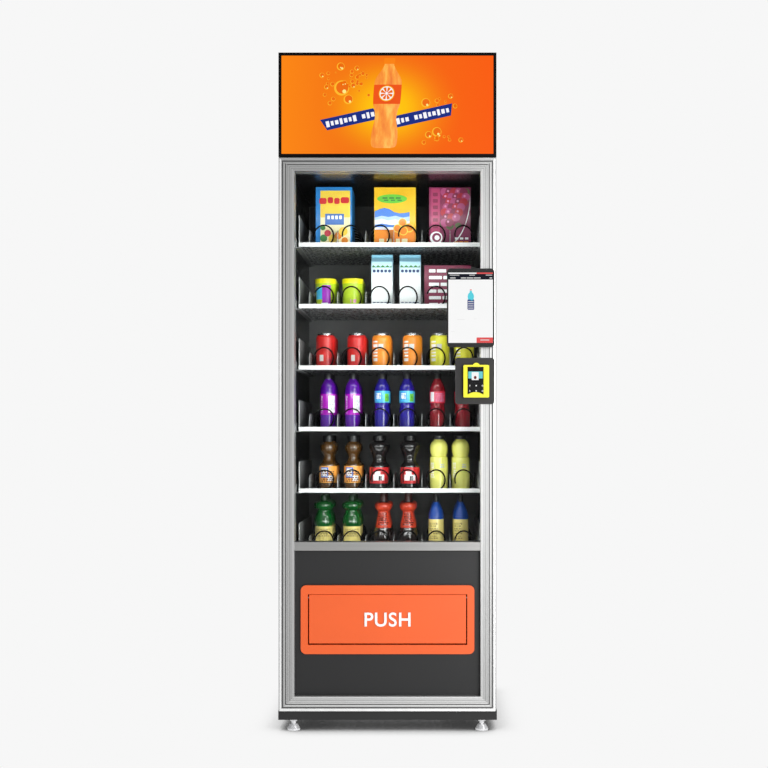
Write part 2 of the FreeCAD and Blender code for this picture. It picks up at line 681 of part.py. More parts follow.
def lock_parts():
    """Key barrel in the edge of the door and the cam that it turns."""
    depth = "door_front + door_deep - lock_back"
    barrel = rod("barrel_rad", "barrel_long", "door_half - barrel_long", depth, "lock_height", "X")
    keyway = box(("door_half - 4", "door_half + 1"), (f"{depth} - 1", f"{depth} + 1"),
                 ("lock_height - 6", "lock_height + 6"))
    finish(cut(barrel, keyway), "lock_barrel")
    cam = new_body("cam", "door_half - barrel_long - cam_gap - cam_thick", depth, "lock_height")
    outline = [("-cam_wide / 2", "-cam_wide / 2"), ("cam_wide / 2", "-cam_wide / 2"),
               ("cam_wide / 2", "cam_long"), ("-cam_wide / 2", "cam_long")]
    pad(cam, add_outline(sketch_on(cam, "YZ_Plane"), outline), "cam_thick")
    round_edges(cam, "cam_wide / 2 - 1", ALONG_X)
    finish(cam, "lock_cam")


def tablet():
    """Rounded touch tablet on an arm, with a recess for its screen."""
    body = front_plate("tablet", "tab_front + tab_deep", ("tab_left", "tab_right"), ("tab_low", "tab_high"),
                       "tab_deep")
    round_edges(body, "tab_round", ALONG_Y)
    inner = (("tab_left + tab_rim", "tab_right - tab_rim"),
             ("tab_low + 2 * tab_rim", "tab_high - 2 * tab_rim"))
    arm = sketch_on(body, "XZ_Plane")
    add_rectangle(arm, ("arm_left", "arm_right"), ("arm_low", "arm_high"))
    pad(body, arm, "door_front - tab_front - tab_deep", back=True)
    recess = box(inner[0], ("tab_front - 1", "tab_front + tab_glass"), inner[1])
    finish(cut(body, recess), "tablet_housing")
    screen = front_plate("screen", "tab_front + tab_glass", *inner, "tab_glass")
    finish(screen, "tablet_screen")


def reader():
    """Mounting plate and the card reader with its raised contactless bump."""
    plate = front_plate("plate", "door_front", ("plate_left", "plate_right"), ("plate_low", "plate_high"),
                        "plate_deep")
    round_edges(plate, "plate_round", ALONG_Y)
    finish(plate, "reader_plate")
    case = front_plate("case", "door_front - plate_deep", ("card_left", "card_right"),
                       ("card_low", "card_high"), "card_deep")
    round_edges(case, "card_round", ALONG_Y)
    bump = sketch_on(case, "XZ_Plane")
    add_circle(bump, "bump_side", "bump_height", "bump_rad")
    pad(case, bump, "card_deep")
    hollow = new_body("hollow", depth="door_front - plate_deep - card_deep + key_deep")
    pad(hollow, add_rectangle(sketch_on(hollow, "XZ_Plane"), ("key_left", "key_right"),
                              ("key_low", "key_high")), "key_deep + 1")
    finish(cut(case, hollow), "card_reader")


# Trays

def tray_master():
    """Pan, price lip, side plates, drilled rear plate and lane dividers, with the lip's top at Z = 0."""
    floor = ("-pan_drop - pan_sheet", "-pan_drop")
    across = ("-tray_half", "tray_half")
    pieces = [box(across, ("tray_front + lip_thick", "tray_back"), floor)]
    lip_depth = ("tray_front", "tray_front + lip_thick")
    pieces.append(box(("-lip_half", "lip_half"), lip_depth, ("-lip_high", "0")))
    along = ("tray_front + lip_thick", "tray_back - side_sheet")
    for span in mirrored("tray_half - side_sheet", "tray_half"):
        pieces.append(box(span, along, ("-pan_drop", "side_high")))
    pieces.append(rear_plate())
    fence = new_body("divider")
    outline = [("fence_front", "-pan_drop"), ("tray_back - side_sheet", "-pan_drop"),
               ("tray_back - side_sheet", "fence_high"), ("fence_front", "fence_high")]
    pad(fence, add_outline(sketch_on(fence, "YZ_Plane"), outline), "fence_thick", both=True)
    round_edges(fence, "fence_round", lambda edge: ALONG_X(edge) and edge.CenterOfMass.y < 0
                and edge.CenterOfMass.z > 0)
    for number in range(LANES + 1):
        side = f"lane_first + ({number} - 0.5) * lane_pitch"
        pieces.append(copy_of(fence, side))
    master = doc.addObject("Part::Compound", "tray_pattern")
    master.Links = pieces
    return master


def rear_plate():
    """Rear plate with a shaft hole for each lane and a row of small holes under its top edge."""
    body = front_plate("rear_plate", "tray_back", ("-tray_half", "tray_half"), ("-pan_drop", "side_high"),
                       "side_sheet")
    shaft = sketch_on(body, "XZ_Plane")
    add_circle(shaft, "lane_first", "coil_height", "shaft_hole")
    first = pocket(body, shaft, both=True)
    repeat(body, first, shaft, "lane_pitch", LANES)
    small = sketch_on(body, "XZ_Plane")
    add_circle(small, f"-row_pitch * {ROW_HOLES - 1} / 2", "side_high - row_drop", "row_hole")
    second = pocket(body, small, both=True)
    repeat(body, second, small, "row_pitch", ROW_HOLES)
    return body


def repeat(body, feature, sketch, pitch, count):
    """Repeat a cut along X."""
    body.Tip = feature
    rows = body.newObject("PartDesign::LinearPattern", "row")
    rows.Originals = [feature]
    rows.Direction = (sketch, ["H_Axis"])
    bind(rows, "Length", f"{pitch} * {count - 1}")
    rows.Occurrences = count
    body.Tip = rows
    return rows


def motor_master():
    """Gear motor whose bore takes a spiral's shaft; the shaft's axis is X = 0, Z = 0."""
    body = front_plate("gear_motor", "motor_front + motor_deep", ("-motor_wide / 2", "motor_wide / 2"),
                       ("-motor_high / 2", "motor_high / 2"), "motor_deep")
    round_edges(body, "motor_round", ALONG_Y)
    bore = rod("shaft_rad + motor_play", "bore_deep + 1", "0", "motor_front - 1", "0", "Y")
    return cut(body, bore)


def spiral_path():
    """Centre line of the wire: half circles above and below the shaft in turn, each half a pitch long."""
    radius = sheet.get("coil_rad")
    pitch = sheet.get("coil_pitch")
    bulge = math.hypot(radius, pitch / 4)
    arcs = []
    for turn in range(COIL_TURNS):
        start = turn * pitch
        for side, begin in ((1, start), (-1, start + pitch / 2)):
            near = FreeCAD.Vector(-side * radius, begin, 0)
            crown = FreeCAD.Vector(0, begin + pitch / 4, side * bulge)
            far = FreeCAD.Vector(side * radius, begin + pitch / 2, 0)
            arcs.append(Part.Arc(near, crown, far).toShape())
    arcs += spoke_path(radius, COIL_TURNS * pitch, sheet.get("coil_bend"))
    path = doc.addObject("Part::Feature", "spiral_path")
    path.Shape = Part.Wire(arcs)
    return path


def spoke_path(radius, depth, bend):
    """The wire's last bend and its straight run into the hub."""
    start = FreeCAD.Vector(-radius, depth, 0)
    slant = bend * math.sqrt(0.5)
    middle = FreeCAD.Vector(-radius + bend - slant, depth, slant)
    corner = FreeCAD.Vector(-radius + bend, depth, bend)
    return [Part.Arc(start, middle, corner).toShape(),
            Part.LineSegment(corner, FreeCAD.Vector(0, depth, bend)).toShape()]


def spiral_master():
    """Wire spiral with its spoke, hub and drive shaft; the shaft's axis is X = 0, Z = 0."""
    ring = doc.addObject("Part::Circle", "wire_section")
    bind(ring, "Radius", "coil_wire")
    place(ring, "-coil_rad")
    wire = doc.addObject("Part::Sweep", "wire")
    wire.Sections = [ring]
    wire.Spine = (spiral_path(), [])
    wire.Solid = True
    wire.Frenet = True
    end = f"coil_pitch * {COIL_TURNS}"
    hub = rod("hub_rad", "hub_long", "0", f"{end} - hub_long / 2", "0", "Y")
    shaft = rod("shaft_rad", "shaft_long", "0", f"{end} + hub_long / 2", "0", "Y")
    return fuse([wire, hub, shaft])


def trays():
    pan = tray_master()
    motor = motor_master()
    spiral = spiral_master()
    for tray in range(TRAYS):
        number = tray + 1
        lip = f"tray_first - {tray} * tray_pitch"
        group(f"tray_{number}", [copy_of(pan, height=lip)])
        motors = []
        idle = []
        for lane in range(LANES):
            side = f"lane_first + {lane} * lane_pitch"
            motors.append(copy_of(motor, side, height=f"{lip} + coil_height"))
            turn = FreeCAD.Rotation(FreeCAD.Vector(0, 1, 0), TIP_ANGLES[tray][lane])
            coil = copy_of(spiral, side, "coil_front", f"{lip} + coil_height", turn)
            if lane == DRIVEN_LANE:
                group(f"drive_spiral_{number}", [coil])
            else:
                idle.append(coil)
        group(f"spiral_motors_{number}", motors)
        group(f"spirals_{number}", idle)


cabinet_shell()
insulated_floor()
inner_liner()
base_plinth()
levelling_feet()
header_housing()
header_display()
control_box()
tray_runners()
led_strips()
compressor()
finned_coil("condenser", "cond")
finned_coil("evaporator", "evap")
fan_blade()
fan_motor()
rear_cover()
power_inlet()
hinge_pins()
door_frame()
door_mid_rail()
door_glass()
door_lower_panel()
door_gasket()
pickup_bezel()
pickup_flap()
flap_pin()
pickup_bin()
lock_parts()
tablet()
reader()
trays()
doc.recompute()

for thing in doc.Objects:
    if "Invalid" in thing.State or "Error" in thing.State:
        raise RuntimeError(f"{thing.Name} did not build")

for node in nodes:
    if node.Shape.isNull() or not node.Shape.isValid():
        raise RuntimeError(f"{node.Label} has no valid shape")
    node.Shape.exportStep(f"parts/{node.Label}.step")
    low = node.Shape.BoundBox
    print(node.Label, len(node.Shape.Solids), round(node.Shape.Volume / 1000, 1),
          [round(v, 1) for v in (low.XMin, low.XMax, low.YMin, low.YMax, low.ZMin, low.ZMax)])
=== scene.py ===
import math
import random

import bpy
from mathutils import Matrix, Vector


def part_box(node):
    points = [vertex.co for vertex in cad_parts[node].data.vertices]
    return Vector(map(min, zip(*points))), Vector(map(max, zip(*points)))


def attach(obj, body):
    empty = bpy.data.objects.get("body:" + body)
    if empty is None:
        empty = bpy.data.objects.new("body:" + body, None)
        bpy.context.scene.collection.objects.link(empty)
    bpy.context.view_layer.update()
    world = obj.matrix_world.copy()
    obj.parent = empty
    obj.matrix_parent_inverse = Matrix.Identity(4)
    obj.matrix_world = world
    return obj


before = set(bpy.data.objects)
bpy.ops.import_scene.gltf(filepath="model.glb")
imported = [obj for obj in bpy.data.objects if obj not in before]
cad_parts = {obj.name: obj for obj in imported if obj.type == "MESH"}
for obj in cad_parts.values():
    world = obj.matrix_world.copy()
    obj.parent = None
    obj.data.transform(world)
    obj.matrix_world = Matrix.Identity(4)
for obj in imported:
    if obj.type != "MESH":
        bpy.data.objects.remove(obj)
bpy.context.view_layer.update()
random.seed(7)


# Where things are, from the frame

def span(node):
    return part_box(node)


FLAP_LOW, FLAP_HIGH = span("pickup_flap")
SILL_LOW, _ = span("door_rail_bottom")
_, STILE_HIGH = span("door_stile_right")
DOOR_HALF = STILE_HIGH.x
SCREEN_LOW, SCREEN_HIGH = span("tablet_screen")
CARD_LOW, CARD_HIGH = span("card_reader")
DISPLAY_LOW, DISPLAY_HIGH = span("header_display")

TRAYS = 6
LANES = 6
LIP_HIGH = 0.014
PAN_DROP = 0.0115
TRAY_LIPS = [span(f"tray_{n}")[0].z + LIP_HIGH for n in range(1, TRAYS + 1)]
MOTORS_LOW, MOTORS_HIGH = span("spiral_motors_1")
MOTOR_WIDE = 0.058
LANE_PITCH = (MOTORS_HIGH.x - MOTORS_LOW.x - MOTOR_WIDE) / (LANES - 1)
LANE_X = [MOTORS_LOW.x + MOTOR_WIDE / 2 + LANE_PITCH * n for n in range(LANES)]
STOCK_FRONT = -0.108
# These depths and this width mark where the door frame gets painted shade in its grooves and a painted
# highlight on its outer land.
GROOVE_STEP = 0.0003
GROOVE_DEEP = 0.0050
LAND_WIDE = 0.0085
BOTTLE_LEAN = 0.073
COPIES = 3
COIL_PITCH = 0.0665
PACK_DEEP = 0.052
FIRST_BOTTLES = 3
INK = 0.0002
BACKDROP = 0.93


# Materials

def rgb(red, green, blue):
    """Linear colour from a colour given in 0 to 255 screen values."""
    def linear(value):
        value = value / 255
        return value / 12.92 if value <= 0.04045 else ((value + 0.055) / 1.055) ** 2.4
    return (linear(red), linear(green), linear(blue), 1.0)


def lighter(color, factor):
    return tuple(min(1.0, part * factor) for part in color[:3]) + (1.0,)


def blank(name):
    material = bpy.data.materials.new(name)
    material.use_nodes = True
    tree = material.node_tree
    return material, tree, tree.nodes["Principled BSDF"]


def fill(tree, made, inputs):
    """Give each named socket of a node a value, or join it to the socket that feeds it."""
    for socket, value in inputs.items():
        if isinstance(value, bpy.types.NodeSocket):
            tree.links.new(value, made.inputs[socket])
        else:
            made.inputs[socket].default_value = value


def node(tree, kind, inputs=None, **settings):
    made = tree.nodes.new("ShaderNode" + kind)
    for setting, value in settings.items():
        setattr(made, setting, value)
    fill(tree, made, inputs or {})
    return made


def sum_of(tree, operation, *values):
    """One step of arithmetic on sockets and numbers."""
    return node(tree, "Math", dict(enumerate(values)), operation=operation).outputs["Value"]


def blend(tree, share, first, second):
    return node(tree, "Mix", {0: share, 6: first, 7: second}, data_type="RGBA").outputs[2]


def parted(tree):
    """The three parts of a point's place on its piece."""
    place = node(tree, "TexCoord").outputs["Object"]
    return node(tree, "SeparateXYZ", {"Vector": place}).outputs


def share_along(tree, axis, low, high):
    """How far a point is from one place to another along an axis, from 0 to 1."""
    spread = {"Value": parted(tree)[axis], "From Min": low, "From Max": high}
    return node(tree, "MapRange", spread).outputs["Result"]


def coordinates(tree, stretch=(1, 1, 1), shift=(0, 0, 0)):
    place = node(tree, "TexCoord").outputs["Object"]
    return node(tree, "Mapping", {"Vector": place, "Scale": stretch, "Location": shift}).outputs["Vector"]


def noise(tree, where, scale, detail=4.0):
    settings = {"Vector": where, "Scale": scale, "Detail": detail, "Roughness": 0.55}
    return node(tree, "TexNoise", settings).outputs["Fac"]


def ramp(tree, value, stops):
    made = node(tree, "ValToRGB", {"Fac": value})
    points = made.color_ramp.elements
    points[0].position, points[0].color = stops[0]
    points[1].position, points[1].color = stops[-1]
    for position, color in stops[1:-1]:
        points.new(position).color = color
    return made.outputs["Color"]


def mottled(tree, where, scale, color, amount):
    """A colour that wanders a little lighter and darker."""
    return ramp(tree, noise(tree, where, scale),
                [(0.3, lighter(color, 1 - amount)), (0.7, lighter(color, 1 + amount))])


def grey(value):
    return (value, value, value, 1.0)


def surface(name, color, rough=0.4, metal=0.0, coat=0.0, mottle=0.06, mottle_scale=9.0, grain=60.0,
            bump=0.03, stretch=(1, 1, 1), rough_spread=0.08, specular=0.5):
    """A finish with slight colour mottling, uneven gloss and a fine surface relief."""
    material, tree, shader = blank(name)
    where = coordinates(tree, stretch)
    fine = noise(tree, where, grain, 6.0)
    gloss = ramp(tree, fine, [(0.3, grey(max(rough - rough_spread, 0.02))),
                              (0.7, grey(min(rough + rough_spread, 1.0)))])
    relief = node(tree, "Bump", {"Strength": bump, "Distance": 0.002, "Height": fine})
    fill(tree, shader, {
        "Base Color": mottled(tree, where, mottle_scale, color, mottle), "Roughness": gloss,
        "Normal": relief.outputs["Normal"], "Metallic": metal, "Specular IOR Level": specular,
        "Coat Weight": coat, "Coat Roughness": 0.08})
    return material


def glowing(name, color, strength=1.0, mottle=0.03):
    """A lit, slightly uneven screen colour."""
    material, tree, shader = blank(name)
    light_face(tree, shader, mottled(tree, coordinates(tree), 30.0, color, mottle), strength)
    return material


def light_face(tree, shader, tint, strength):
    """A screen: it glows, and its unlit face is nearly black with hardly any shine."""
    fill(tree, shader, {"Emission Color": tint, "Emission Strength": strength, "Base Color": grey(0.004),
                        "Roughness": 0.3, "Specular IOR Level": 0.05})


def brushed(name, color, rough, stretch):
    """Satin anodised aluminium with a fine drawn grain along the extrusion."""
    return surface(name, color, rough=rough, metal=0.85, mottle=0.05, mottle_scale=4.0, grain=220.0,
                   bump=0.05, stretch=stretch, rough_spread=0.06)


def clear_glass():
    """Thin clear pane: it lets light straight through, and reflects more the flatter it is looked along."""
    material, tree, shader = blank("pane_glass")
    tree.nodes.remove(shader)
    through = node(tree, "BsdfTransparent", {"Color": (0.97, 0.985, 0.98, 1.0)})
    mirror = node(tree, "BsdfGlossy", {"Roughness": 0.02, "Color": grey(0.25)})
    facing = node(tree, "LayerWeight", {"Blend": 0.5}).outputs["Facing"]
    share = sum_of(tree, "MULTIPLY_ADD", sum_of(tree, "POWER", facing, 5.0), 0.9, 0.017)
    mixed = node(tree, "MixShader", {"Fac": share, 1: through.outputs["BSDF"], 2: mirror.outputs["BSDF"]})
    fill(tree, tree.nodes["Material Output"], {"Surface": mixed.outputs["Shader"]})
    return material


def perforated(name, color, pitch, hole):
    """Painted sheet with a regular field of small bright dots on its level faces: painted light showing
    through its holes.
    """
    material = surface(name, color, rough=0.26, metal=0.3, mottle=0.08, grain=90.0, bump=0.004)
    tree = material.node_tree
    shader = tree.nodes["Principled BSDF"]
    place = parted(tree)
    squares = []
    for axis in ("X", "Y"):
        cell = sum_of(tree, "ADD", sum_of(tree, "DIVIDE", place[axis], pitch), 100.0)
        off = sum_of(tree, "SUBTRACT", sum_of(tree, "FRACT", cell), 0.5)
        squares.append(sum_of(tree, "MULTIPLY", off, off))
    clear = sum_of(tree, "GREATER_THAN", sum_of(tree, "ADD", *squares), (hole / pitch) ** 2)
    tint = shader.inputs["Base Color"].links[0].from_socket
    # Painted light: the holes are bright dots, standing for the light that shows through them.
    fill(tree, shader, {"Base Color": blend(tree, clear, grey(0.85), tint)})
    return material


def sunburst():
    """The header picture's ground: a yellow glow in the middle of an orange field."""
    material, tree, shader = blank("display_ground")
    middle = (DISPLAY_LOW + DISPLAY_HIGH) / 2
    wide = 0.24
    tall = 0.20
    slide = (-middle.x / wide, 0, -(middle.z - 0.01) / tall)
    spot = coordinates(tree, (1 / wide, 0, 1 / tall), slide)
    far = node(tree, "VectorMath", {0: spot}, operation="LENGTH").outputs["Value"]
    glow = ramp(tree, far, [(0.0, rgb(255, 205, 0)), (0.35, rgb(255, 185, 0)), (0.75, rgb(248, 140, 6)),
                            (1.0, rgb(244, 112, 6))])
    side = ramp(tree, share_along(tree, "X", DISPLAY_LOW.x, DISPLAY_HIGH.x),
                [(0.0, rgb(252, 134, 10)), (0.35, rgb(243, 112, 8)), (1.0, rgb(250, 92, 4))])
    fade = ramp(tree, far, [(0.25, grey(0.0)), (1.0, grey(1.0))])
    light_face(tree, shader, blend(tree, fade, glow, side), 1.0)
    return material


ALUMINIUM = (0.50, 0.50, 0.495, 1.0)
MATERIALS = {
    "stile": brushed("aluminium_upright", ALUMINIUM, 0.42, (12, 12, 0.25)),
    "rail": brushed("aluminium_level", ALUMINIUM, 0.42, (0.25, 12, 12)),
    # Painted light: the bottom rail is the frame aluminium made 1.35 times lighter, standing for the
    # brighter light on it.
    "sill": brushed("aluminium_sill_painted_light", lighter(ALUMINIUM, 1.35), 0.42, (0.25, 12, 12)),
    # Painted shade: a darker copy of the frame aluminium for the mid rail, toning down the light on it.
    "mid_rail": brushed("aluminium_mid_painted_shade", (0.36, 0.36, 0.352, 1.0), 0.38, (0.25, 12, 12)),
    # Painted shade: a dark copy of the frame aluminium for the recessed grooves.
    "groove": brushed("aluminium_groove_painted_shade", (0.17, 0.17, 0.17, 1.0), 0.5, (12, 12, 0.25)),
    # Painted highlight: a near-white copy of the frame aluminium for the outer land of the door edge.
    "land": brushed("aluminium_edge_painted_highlight", (0.93, 0.93, 0.925, 1.0), 0.5, (12, 12, 0.25)),
    "cabinet": surface("cabinet_paint", rgb(205, 207, 209), 0.38, mottle=0.02, grain=300.0, bump=0.05),
    "black": surface("black_paint", rgb(6, 6, 7), 0.4, mottle=0.1, grain=320.0, bump=0.005, specular=0.1),
    "plinth": surface("plinth_paint", rgb(42, 42, 42), 0.45, mottle=0.06, grain=320.0, bump=0.06,
                      specular=0.3),
    # Painted light: the rear wall is the liner paint lightened as if lit.
    "liner_back_lit": surface("liner_rear_lit_paint", rgb(146, 146, 147), 0.4, mottle=0.08, grain=160.0,
                          specular=0.3),
    # Painted shade: the same liner paint made nearly black where the walls are unlit.
    "liner": surface("liner_paint", rgb(20, 20, 22), 0.3, mottle=0.08, grain=160.0, specular=0.3),
    "charcoal": surface("charcoal_panel", rgb(20, 20, 21), 0.42, mottle=0.05, grain=420.0, bump=0.05,
                        specular=0.5),
    "orange": surface("orange_moulding", rgb(240, 96, 30), 0.42, coat=0.1, mottle=0.02, grain=520.0,
                      bump=0.05),
    "chrome": surface("polished_steel", rgb(236, 236, 238), 0.24, metal=0.4, coat=0.4, mottle=0.03,
                      grain=80.0, bump=0.02),
    "zinc": surface("zinc_plate", rgb(175, 178, 180), 0.36, metal=1.0, mottle=0.1, mottle_scale=40.0),
    "fins": surface("fin_aluminium", rgb(170, 172, 174), 0.45, metal=0.9, mottle=0.08, grain=200.0),
    "rubber": surface("seal_rubber", rgb(24, 24, 24), 0.75, mottle=0.08, grain=200.0, bump=0.08,
                      specular=0.2),
    "plastic": surface("black_plastic", rgb(20, 20, 21), 0.48, mottle=0.06, grain=480.0, bump=0.08,
                       specular=0.25),
    "plate": surface("charcoal_plastic", rgb(46, 45, 46), 0.5, mottle=0.05, grain=480.0, bump=0.06,
                     specular=0.25),
    "yellow": surface("yellow_plastic", rgb(236, 228, 30), 0.35, coat=0.2, mottle=0.03, grain=400.0,
                      bump=0.04),
    "lip": surface("lip_paint", rgb(250, 250, 250), 0.3, mottle=0.01, grain=200.0, bump=0.02),
    "pan": perforated("tray_sheet_lit_holes", rgb(160, 161, 162), 0.021, 0.0026),
    "side": surface("tray_side", rgb(150, 151, 152), 0.35, mottle=0.05, grain=200.0),
    "fence": surface("divider_sheet", rgb(196, 198, 199), 0.25, metal=0.3, mottle=0.04, grain=200.0),
    "wire": surface("spiral_paint", rgb(3, 3, 3), 0.5, mottle=0.1, grain=200.0, bump=0.03, specular=0.1),
    "lamp": glowing("lamp_cover", (1.0, 0.98, 0.95, 1.0), 2.0),
    "glass": clear_glass(),
    "display": sunburst(),
    "white_print": surface("white_print", rgb(248, 248, 248), 0.45, mottle=0.01, grain=300.0, bump=0.02),
}

NODE_FINISH = {
    "cabinet_shell": "cabinet", "insulated_floor": "liner", "base_plinth": "plinth",
    "levelling_feet": "chrome", "header_housing": "black", "header_display": "display",
    "control_box": "zinc", "tray_runners": "side", "led_strips": "lamp", "compressor": "black",
    "condenser": "fins",
    "evaporator": "fins", "fan_motor": "plastic", "fan_blade": "plastic", "rear_cover": "cabinet",
    "power_inlet": "plastic", "hinge_pins": "zinc",
    "door_mid_rail": "mid_rail", "door_glass": "glass",
    "door_lower_panel": "charcoal", "door_gasket": "rubber", "pickup_bezel": "orange",
    "pickup_flap": "orange", "flap_pin": "zinc", "pickup_bin": "liner", "lock_barrel": "zinc",
    "lock_cam": "zinc", "tablet_housing": "plastic", "tablet_screen": "plastic", "reader_plate": "plate",
    "card_reader": "yellow",
}


def finish_nodes():
    """Give every carried-over node its material."""
    for node, finish in NODE_FINISH.items():
        paint(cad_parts[node], [finish])
    for number in range(1, TRAYS + 1):
        paint(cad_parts[f"spiral_motors_{number}"], ["plastic"])
        for node in (f"spirals_{number}", f"drive_spiral_{number}"):
            paint(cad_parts[node], ["wire"])
        paint_tray(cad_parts[f"tray_{number}"], TRAY_LIPS[number - 1])
    for side in ("left", "right"):
        paint_extrusion(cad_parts[f"door_stile_{side}"], "stile", lambda spot: DOOR_HALF - abs(spot.x))
    paint_extrusion(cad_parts["door_rail_bottom"], "sill", lambda spot: spot.z - SILL_LOW.z)
    paint_liner(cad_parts["inner_liner"])
    # The top rail gets the painted groove shade but no painted highlight land, as its outer edge lies in
    # the display's shade.
    paint_extrusion(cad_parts["door_rail_top"], "rail", lambda spot: 1.0)


def paint(piece, finishes):
    piece.data.materials.clear()
    for finish in finishes:
        piece.data.materials.append(MATERIALS[finish])


def paint_extrusion(piece, finish, from_edge):
    """Painted shade in the dark grooves and a painted highlight on the bright outer land of anodised
    aluminium; from_edge gives how far in a spot is.
    """
    paint(piece, [finish, "groove", "land"])
    low, _ = piece_box(piece)
    for face in piece.data.polygons:
        middle = face.center
        if low.y + GROOVE_STEP < middle.y < low.y + GROOVE_DEEP:
            face.material_index = 1
        elif middle.y < low.y + GROOVE_STEP and from_edge(middle) < LAND_WIDE:
            face.material_index = 2
        else:
            face.material_index = 0


def paint_liner(piece):
    """One liner paint in two tones: nearly black walls with painted shade, and a lighter rear wall with
    painted light.
    """
    paint(piece, ["liner", "liner_back_lit"])
    for face in piece.data.polygons:
        face.material_index = 1 if abs(face.normal.y) > 0.7 and face.center.y > 0 else 0


def paint_tray(piece, lip):
    """White lip, perforated pan with its holes painted light, grey side and rear plates, pale dividers."""
    paint(piece, ["pan", "lip", "side", "fence"])
    low, high = piece_box(piece)
    for face in piece.data.polygons:
        middle = face.center
        if middle.y < low.y + 0.003:
            face.material_index = 1
        elif middle.z < lip - PAN_DROP + 0.0005:
            face.material_index = 0
        elif abs(middle.x) > high.x - 0.0040 or middle.y > high.y - 0.003:
            face.material_index = 2
        else:
            face.material_index = 3


def piece_box(piece):
    corners = [piece.matrix_world @ vertex.co for vertex in piece.data.vertices]
    low = Vector([min(corner[axis] for corner in corners) for axis in range(3)])
    high = Vector([max(corner[axis] for corner in corners) for axis in range(3)])
    return low, high


# Mesh building

class Shape:
    """Collects faces with their materials and turns them into one piece."""

    def __init__(self):
        self.corners = []
        self.faces = []
        self.paints = []
        self.finishes = []

    def slot_of(self, finish):
        if finish not in self.finishes:
            self.finishes.append(finish)
        return self.finishes.index(finish)

    def add(self, corners, faces, finish):
        """finish is a material's name, or a function from a face's middle to one."""
        first = len(self.corners)
        self.corners += [tuple(corner) for corner in corners]
        for face in faces:
            self.faces.append([first + index for index in face])
            middle = sum((Vector(corners[index]) for index in face), Vector()) / len(face)
            chosen = finish(middle) if callable(finish) else finish
            self.paints.append(self.slot_of(chosen))

    def slab(self, outline, front, back, finish, edge=0.0):
        """A flat shape in X and Z with thickness along Y, with an optional chamfer at its front edge."""
        rings = [(outline, back)]
        if edge > 0:
            rings += [(outline, front + edge), (inset(outline, edge), front)]
        else:
            rings.append((outline, front))
        self.skin([(x, depth, z) for ring, depth in rings for x, z in ring], len(outline), finish)

    def layer(self, outline, ground, level, finish):
        """A printed shape one coat of ink thick, with so many coats between it and the ground."""
        self.slab(outline, ground - INK * (level + 1), ground - INK * level, finish)

    def lathe(self, profile, centre, finish, segments=48, flatten=1.0, flute=0.0):
        """Turn a list of (radius, height) points about an upright axis; flute is the depth of ribs."""
        corners = []
        for radius, height in profile:
            for k in range(segments):
                angle = 2 * math.pi * k / segments
                reach = radius * (1 - flute * (k % 2))
                corners.append((centre[0] + reach * math.sin(angle),
                                centre[1] - flatten * reach * math.cos(angle), centre[2] + height))
        self.skin(corners, segments, finish)

    def skin(self, corners, count, finish):
        """Close a stack of rings, each of so many corners, into a solid."""
        last = len(corners) - count
        faces = [list(range(count))[::-1]]
        for base in range(0, last, count):
            for k in range(count):
                after = (k + 1) % count
                faces.append([base + k, base + after, base + count + after, base + count + k])
        faces.append([last + k for k in range(count)])
        self.add(corners, faces, finish)

    def piece(self, name, body, slot, smooth=35.0, bevel=0.0):
        mesh = bpy.data.meshes.new(name)
        mesh.from_pydata(self.corners, [], self.faces)
        for finish in self.finishes:
            mesh.materials.append(MATERIALS[finish])
        for face, paint_index in zip(mesh.polygons, self.paints):
            face.material_index = paint_index
        mesh.validate()
        made = bpy.data.objects.new(name, mesh)
        bpy.context.scene.collection.objects.link(made)
        if bevel > 0:
            rounding = made.modifiers.new("rounding", "BEVEL")
            rounding.width = bevel
            rounding.segments = 3
            rounding.limit_method = "ANGLE"
        mesh.shade_smooth()
        bpy.context.view_layer.objects.active = made
        made.select_set(True)
        bpy.ops.object.shade_smooth_by_angle(angle=math.radians(smooth))
        made.select_set(False)
        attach(made, body)


def inset(outline, by):
    """Each corner moved inwards along its bisector."""
    count = len(outline)
    area = sum(outline[k][0] * outline[(k + 1) % count][1] - outline[(k + 1) % count][0] * outline[k][1]
               for k in range(count))
    turn = 1 if area > 0 else -1
    moved = []
    for k in range(count):
        before = Vector(outline[k - 1])
        here = Vector(outline[k])
        after = Vector(outline[(k + 1) % count])
        one = (here - before).normalized()
        two = (after - here).normalized()
        normal = Vector((-(one.y + two.y), one.x + two.x))
        if normal.length < 1e-9:
            normal = Vector((-one.y, one.x))
        normal.normalize()
        lean = max(0.3, normal.dot(Vector((-one.y, one.x))))
        moved.append(tuple(here + normal * (turn * by / lean)))
    return moved


def rounded(low_x, high_x, low_z, high_z, radius, steps=6):
    """Corner points of a rounded rectangle."""
    points = []
    for x, z, start in ((high_x - radius, low_z + radius, -90), (high_x - radius, high_z - radius, 0),
                        (low_x + radius, high_z - radius, 90), (low_x + radius, low_z + radius, 180)):
        for k in range(steps + 1):
            angle = math.radians(start + 90 * k / steps)
            points.append((x + radius * math.cos(angle), z + radius * math.sin(angle)))
    return points


def disc(x, z, radius, tall=None, steps=28):
    tall = radius if tall is None else tall
    return [(x + radius * math.cos(2 * math.pi * k / steps), z + tall * math.sin(2 * math.pi * k / steps))
            for k in range(steps)]


def strip(x, z, long, tall, lean, angle):
    """A banner: a parallelogram turned by an angle."""
    corners = [(-long / 2 - lean, -tall / 2), (long / 2 - lean, -tall / 2), (long / 2 + lean, tall / 2),
               (-long / 2 + lean, tall / 2)]
    turn = math.radians(angle)
    return [(x + a * math.cos(turn) - b * math.sin(turn), z + a * math.sin(turn) + b * math.cos(turn))
            for a, b in corners]


# Packs and bottles

def tone(name, color, rough, coat, **more):
    MATERIALS[name] = surface(name, color, rough, coat=coat, **more)


